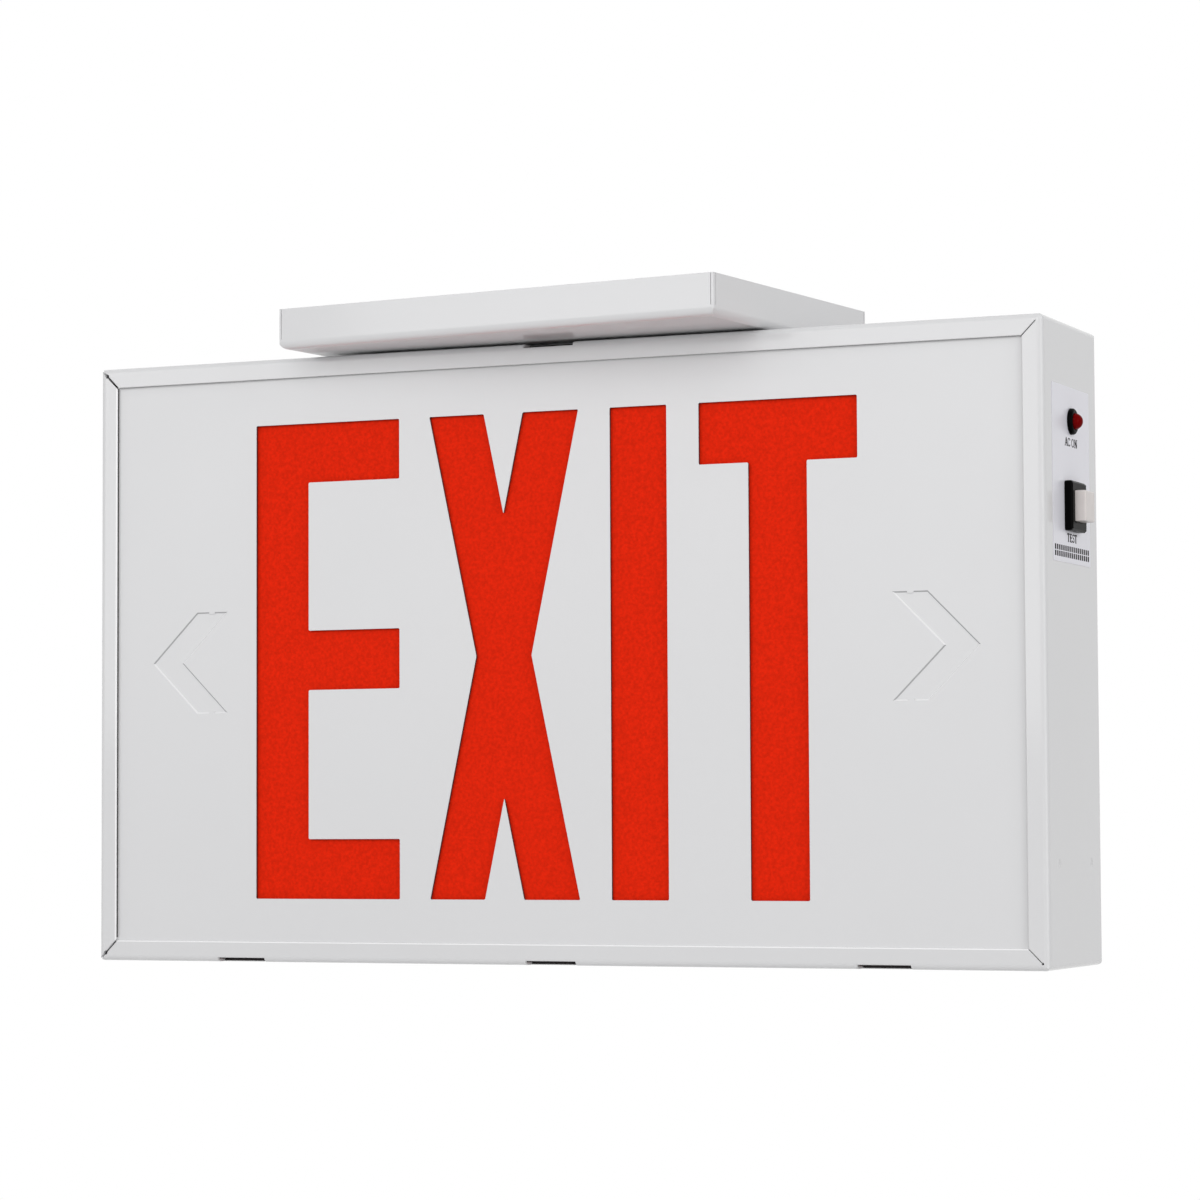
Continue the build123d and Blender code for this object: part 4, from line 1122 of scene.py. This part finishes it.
def studio_floor(drop, radius, glow):
    """Round pale floor: ring r, angle a lies at (r cos a, r sin a, -drop)."""
    disc = turned([(0.0, 0.0), (0.0, radius)], (0, 0, -drop), (0, 0, 1), steps=96)
    piece = new_piece("studio_floor", disc[0], disc[1].tolist())
    floor = Finish("floor_white", (0.75, 0.75, 0.75), 0.9)
    floor.coloured(floor.noise(300 * MM), (0.74, 0.74, 0.74), (0.76, 0.76, 0.76))
    floor.surface.inputs["Emission Color"].default_value = (1.0, 1.0, 1.0, 1.0)
    seen_glow = floor.ranged(seen_rays(floor.tree), 0.0, 1.0, 0.0, glow)
    floor.join(seen_glow, floor.surface.inputs["Emission Strength"])
    floor.set(Specular_IOR_Level=0.0)
    piece.data.materials.append(floor.material)


def photo_camera(view):
    """Camera whose axes are worked out from its position, its aim and its roll."""
    back = (Vector(view.position) - Vector(view.aim)).normalized()
    right = Vector((0, 0, 1)).cross(back).normalized()
    up = back.cross(right)
    turned_right = right * math.cos(view.roll) + up * math.sin(view.roll)
    turned_up = up * math.cos(view.roll) - right * math.sin(view.roll)
    axes = Matrix((turned_right, turned_up, back)).transposed()
    data = bpy.data.cameras.new("photo_camera")
    data.lens = view.lens
    data.sensor_width = view.sensor
    data.clip_start = 0.01
    camera = bpy.data.objects.new("photo_camera", data)
    camera.matrix_world = Matrix.Translation(Vector(view.position)) @ axes.to_4x4()
    bpy.context.scene.collection.objects.link(camera)
    bpy.context.scene.camera = camera


class EXITLIGHT_OT_stage(Operator):
    """Camera, lamps, white surroundings and floor"""

    bl_idname = "exitlight.stage"
    bl_label = "Stage"

    def execute(self, context):
        scene = context.scene
        studio = scene.exitlight_studio
        photo_camera(scene.exitlight_view)
        surroundings(studio.sky)
        studio_floor(studio.floor_drop, studio.floor_radius, studio.floor_glow)
        for name, place, size, mirrored in LAMPS:
            power = getattr(studio, f"{name}_power")
            lamp(f"{name}_lamp", place, size, power, mirrored)
        scene.view_settings.view_transform = "Standard"
        return {"FINISHED"}


class EXITLIGHT_PT_panel(Panel):
    """Steps and settings of the exit light"""

    bl_label = "Exit light"
    bl_idname = "EXITLIGHT_PT_panel"
    bl_space_type = "VIEW_3D"
    bl_region_type = "UI"
    bl_category = "Exit light"

    def draw(self, context):
        layout = self.layout
        for operator in OPERATORS:
            layout.operator(operator.bl_idname)
        for name in SETTINGS:
            group = getattr(context.scene, name)
            box = layout.box()
            for field in group.__annotations__:
                box.prop(group, field)


SETTINGS = {
    "exitlight_view": ViewSettings,
    "exitlight_studio": StudioSettings,
    "exitlight_paint": PaintSettings,
    "exitlight_legend": LegendSettings,
    "exitlight_print": PrintSettings,
    "exitlight_hardware": HardwareSettings,
}

OPERATORS = (
    EXITLIGHT_OT_stage,
    EXITLIGHT_OT_sheet_metal,
    EXITLIGHT_OT_red_panel,
    EXITLIGHT_OT_hardware,
    EXITLIGHT_OT_stem,
    EXITLIGHT_OT_indicator,
    EXITLIGHT_OT_switch,
    EXITLIGHT_OT_label,
    EXITLIGHT_OT_electronics,
    EXITLIGHT_OT_battery,
)


def register():
    for name, group in SETTINGS.items():
        bpy.utils.register_class(group)
        setattr(bpy.types.Scene, name, PointerProperty(type=group))
    for operator in OPERATORS:
        bpy.utils.register_class(operator)
    bpy.utils.register_class(EXITLIGHT_PT_panel)


def unregister():
    bpy.utils.unregister_class(EXITLIGHT_PT_panel)
    for operator in reversed(OPERATORS):
        bpy.utils.unregister_class(operator)
    for name, group in SETTINGS.items():
        delattr(bpy.types.Scene, name)
        bpy.utils.unregister_class(group)


def main():
    """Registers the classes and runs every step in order."""
    register()
    for operator in OPERATORS:
        family, step = operator.bl_idname.split(".")
        getattr(getattr(bpy.ops, family), step)()


if __name__ == "__main__":
    main()
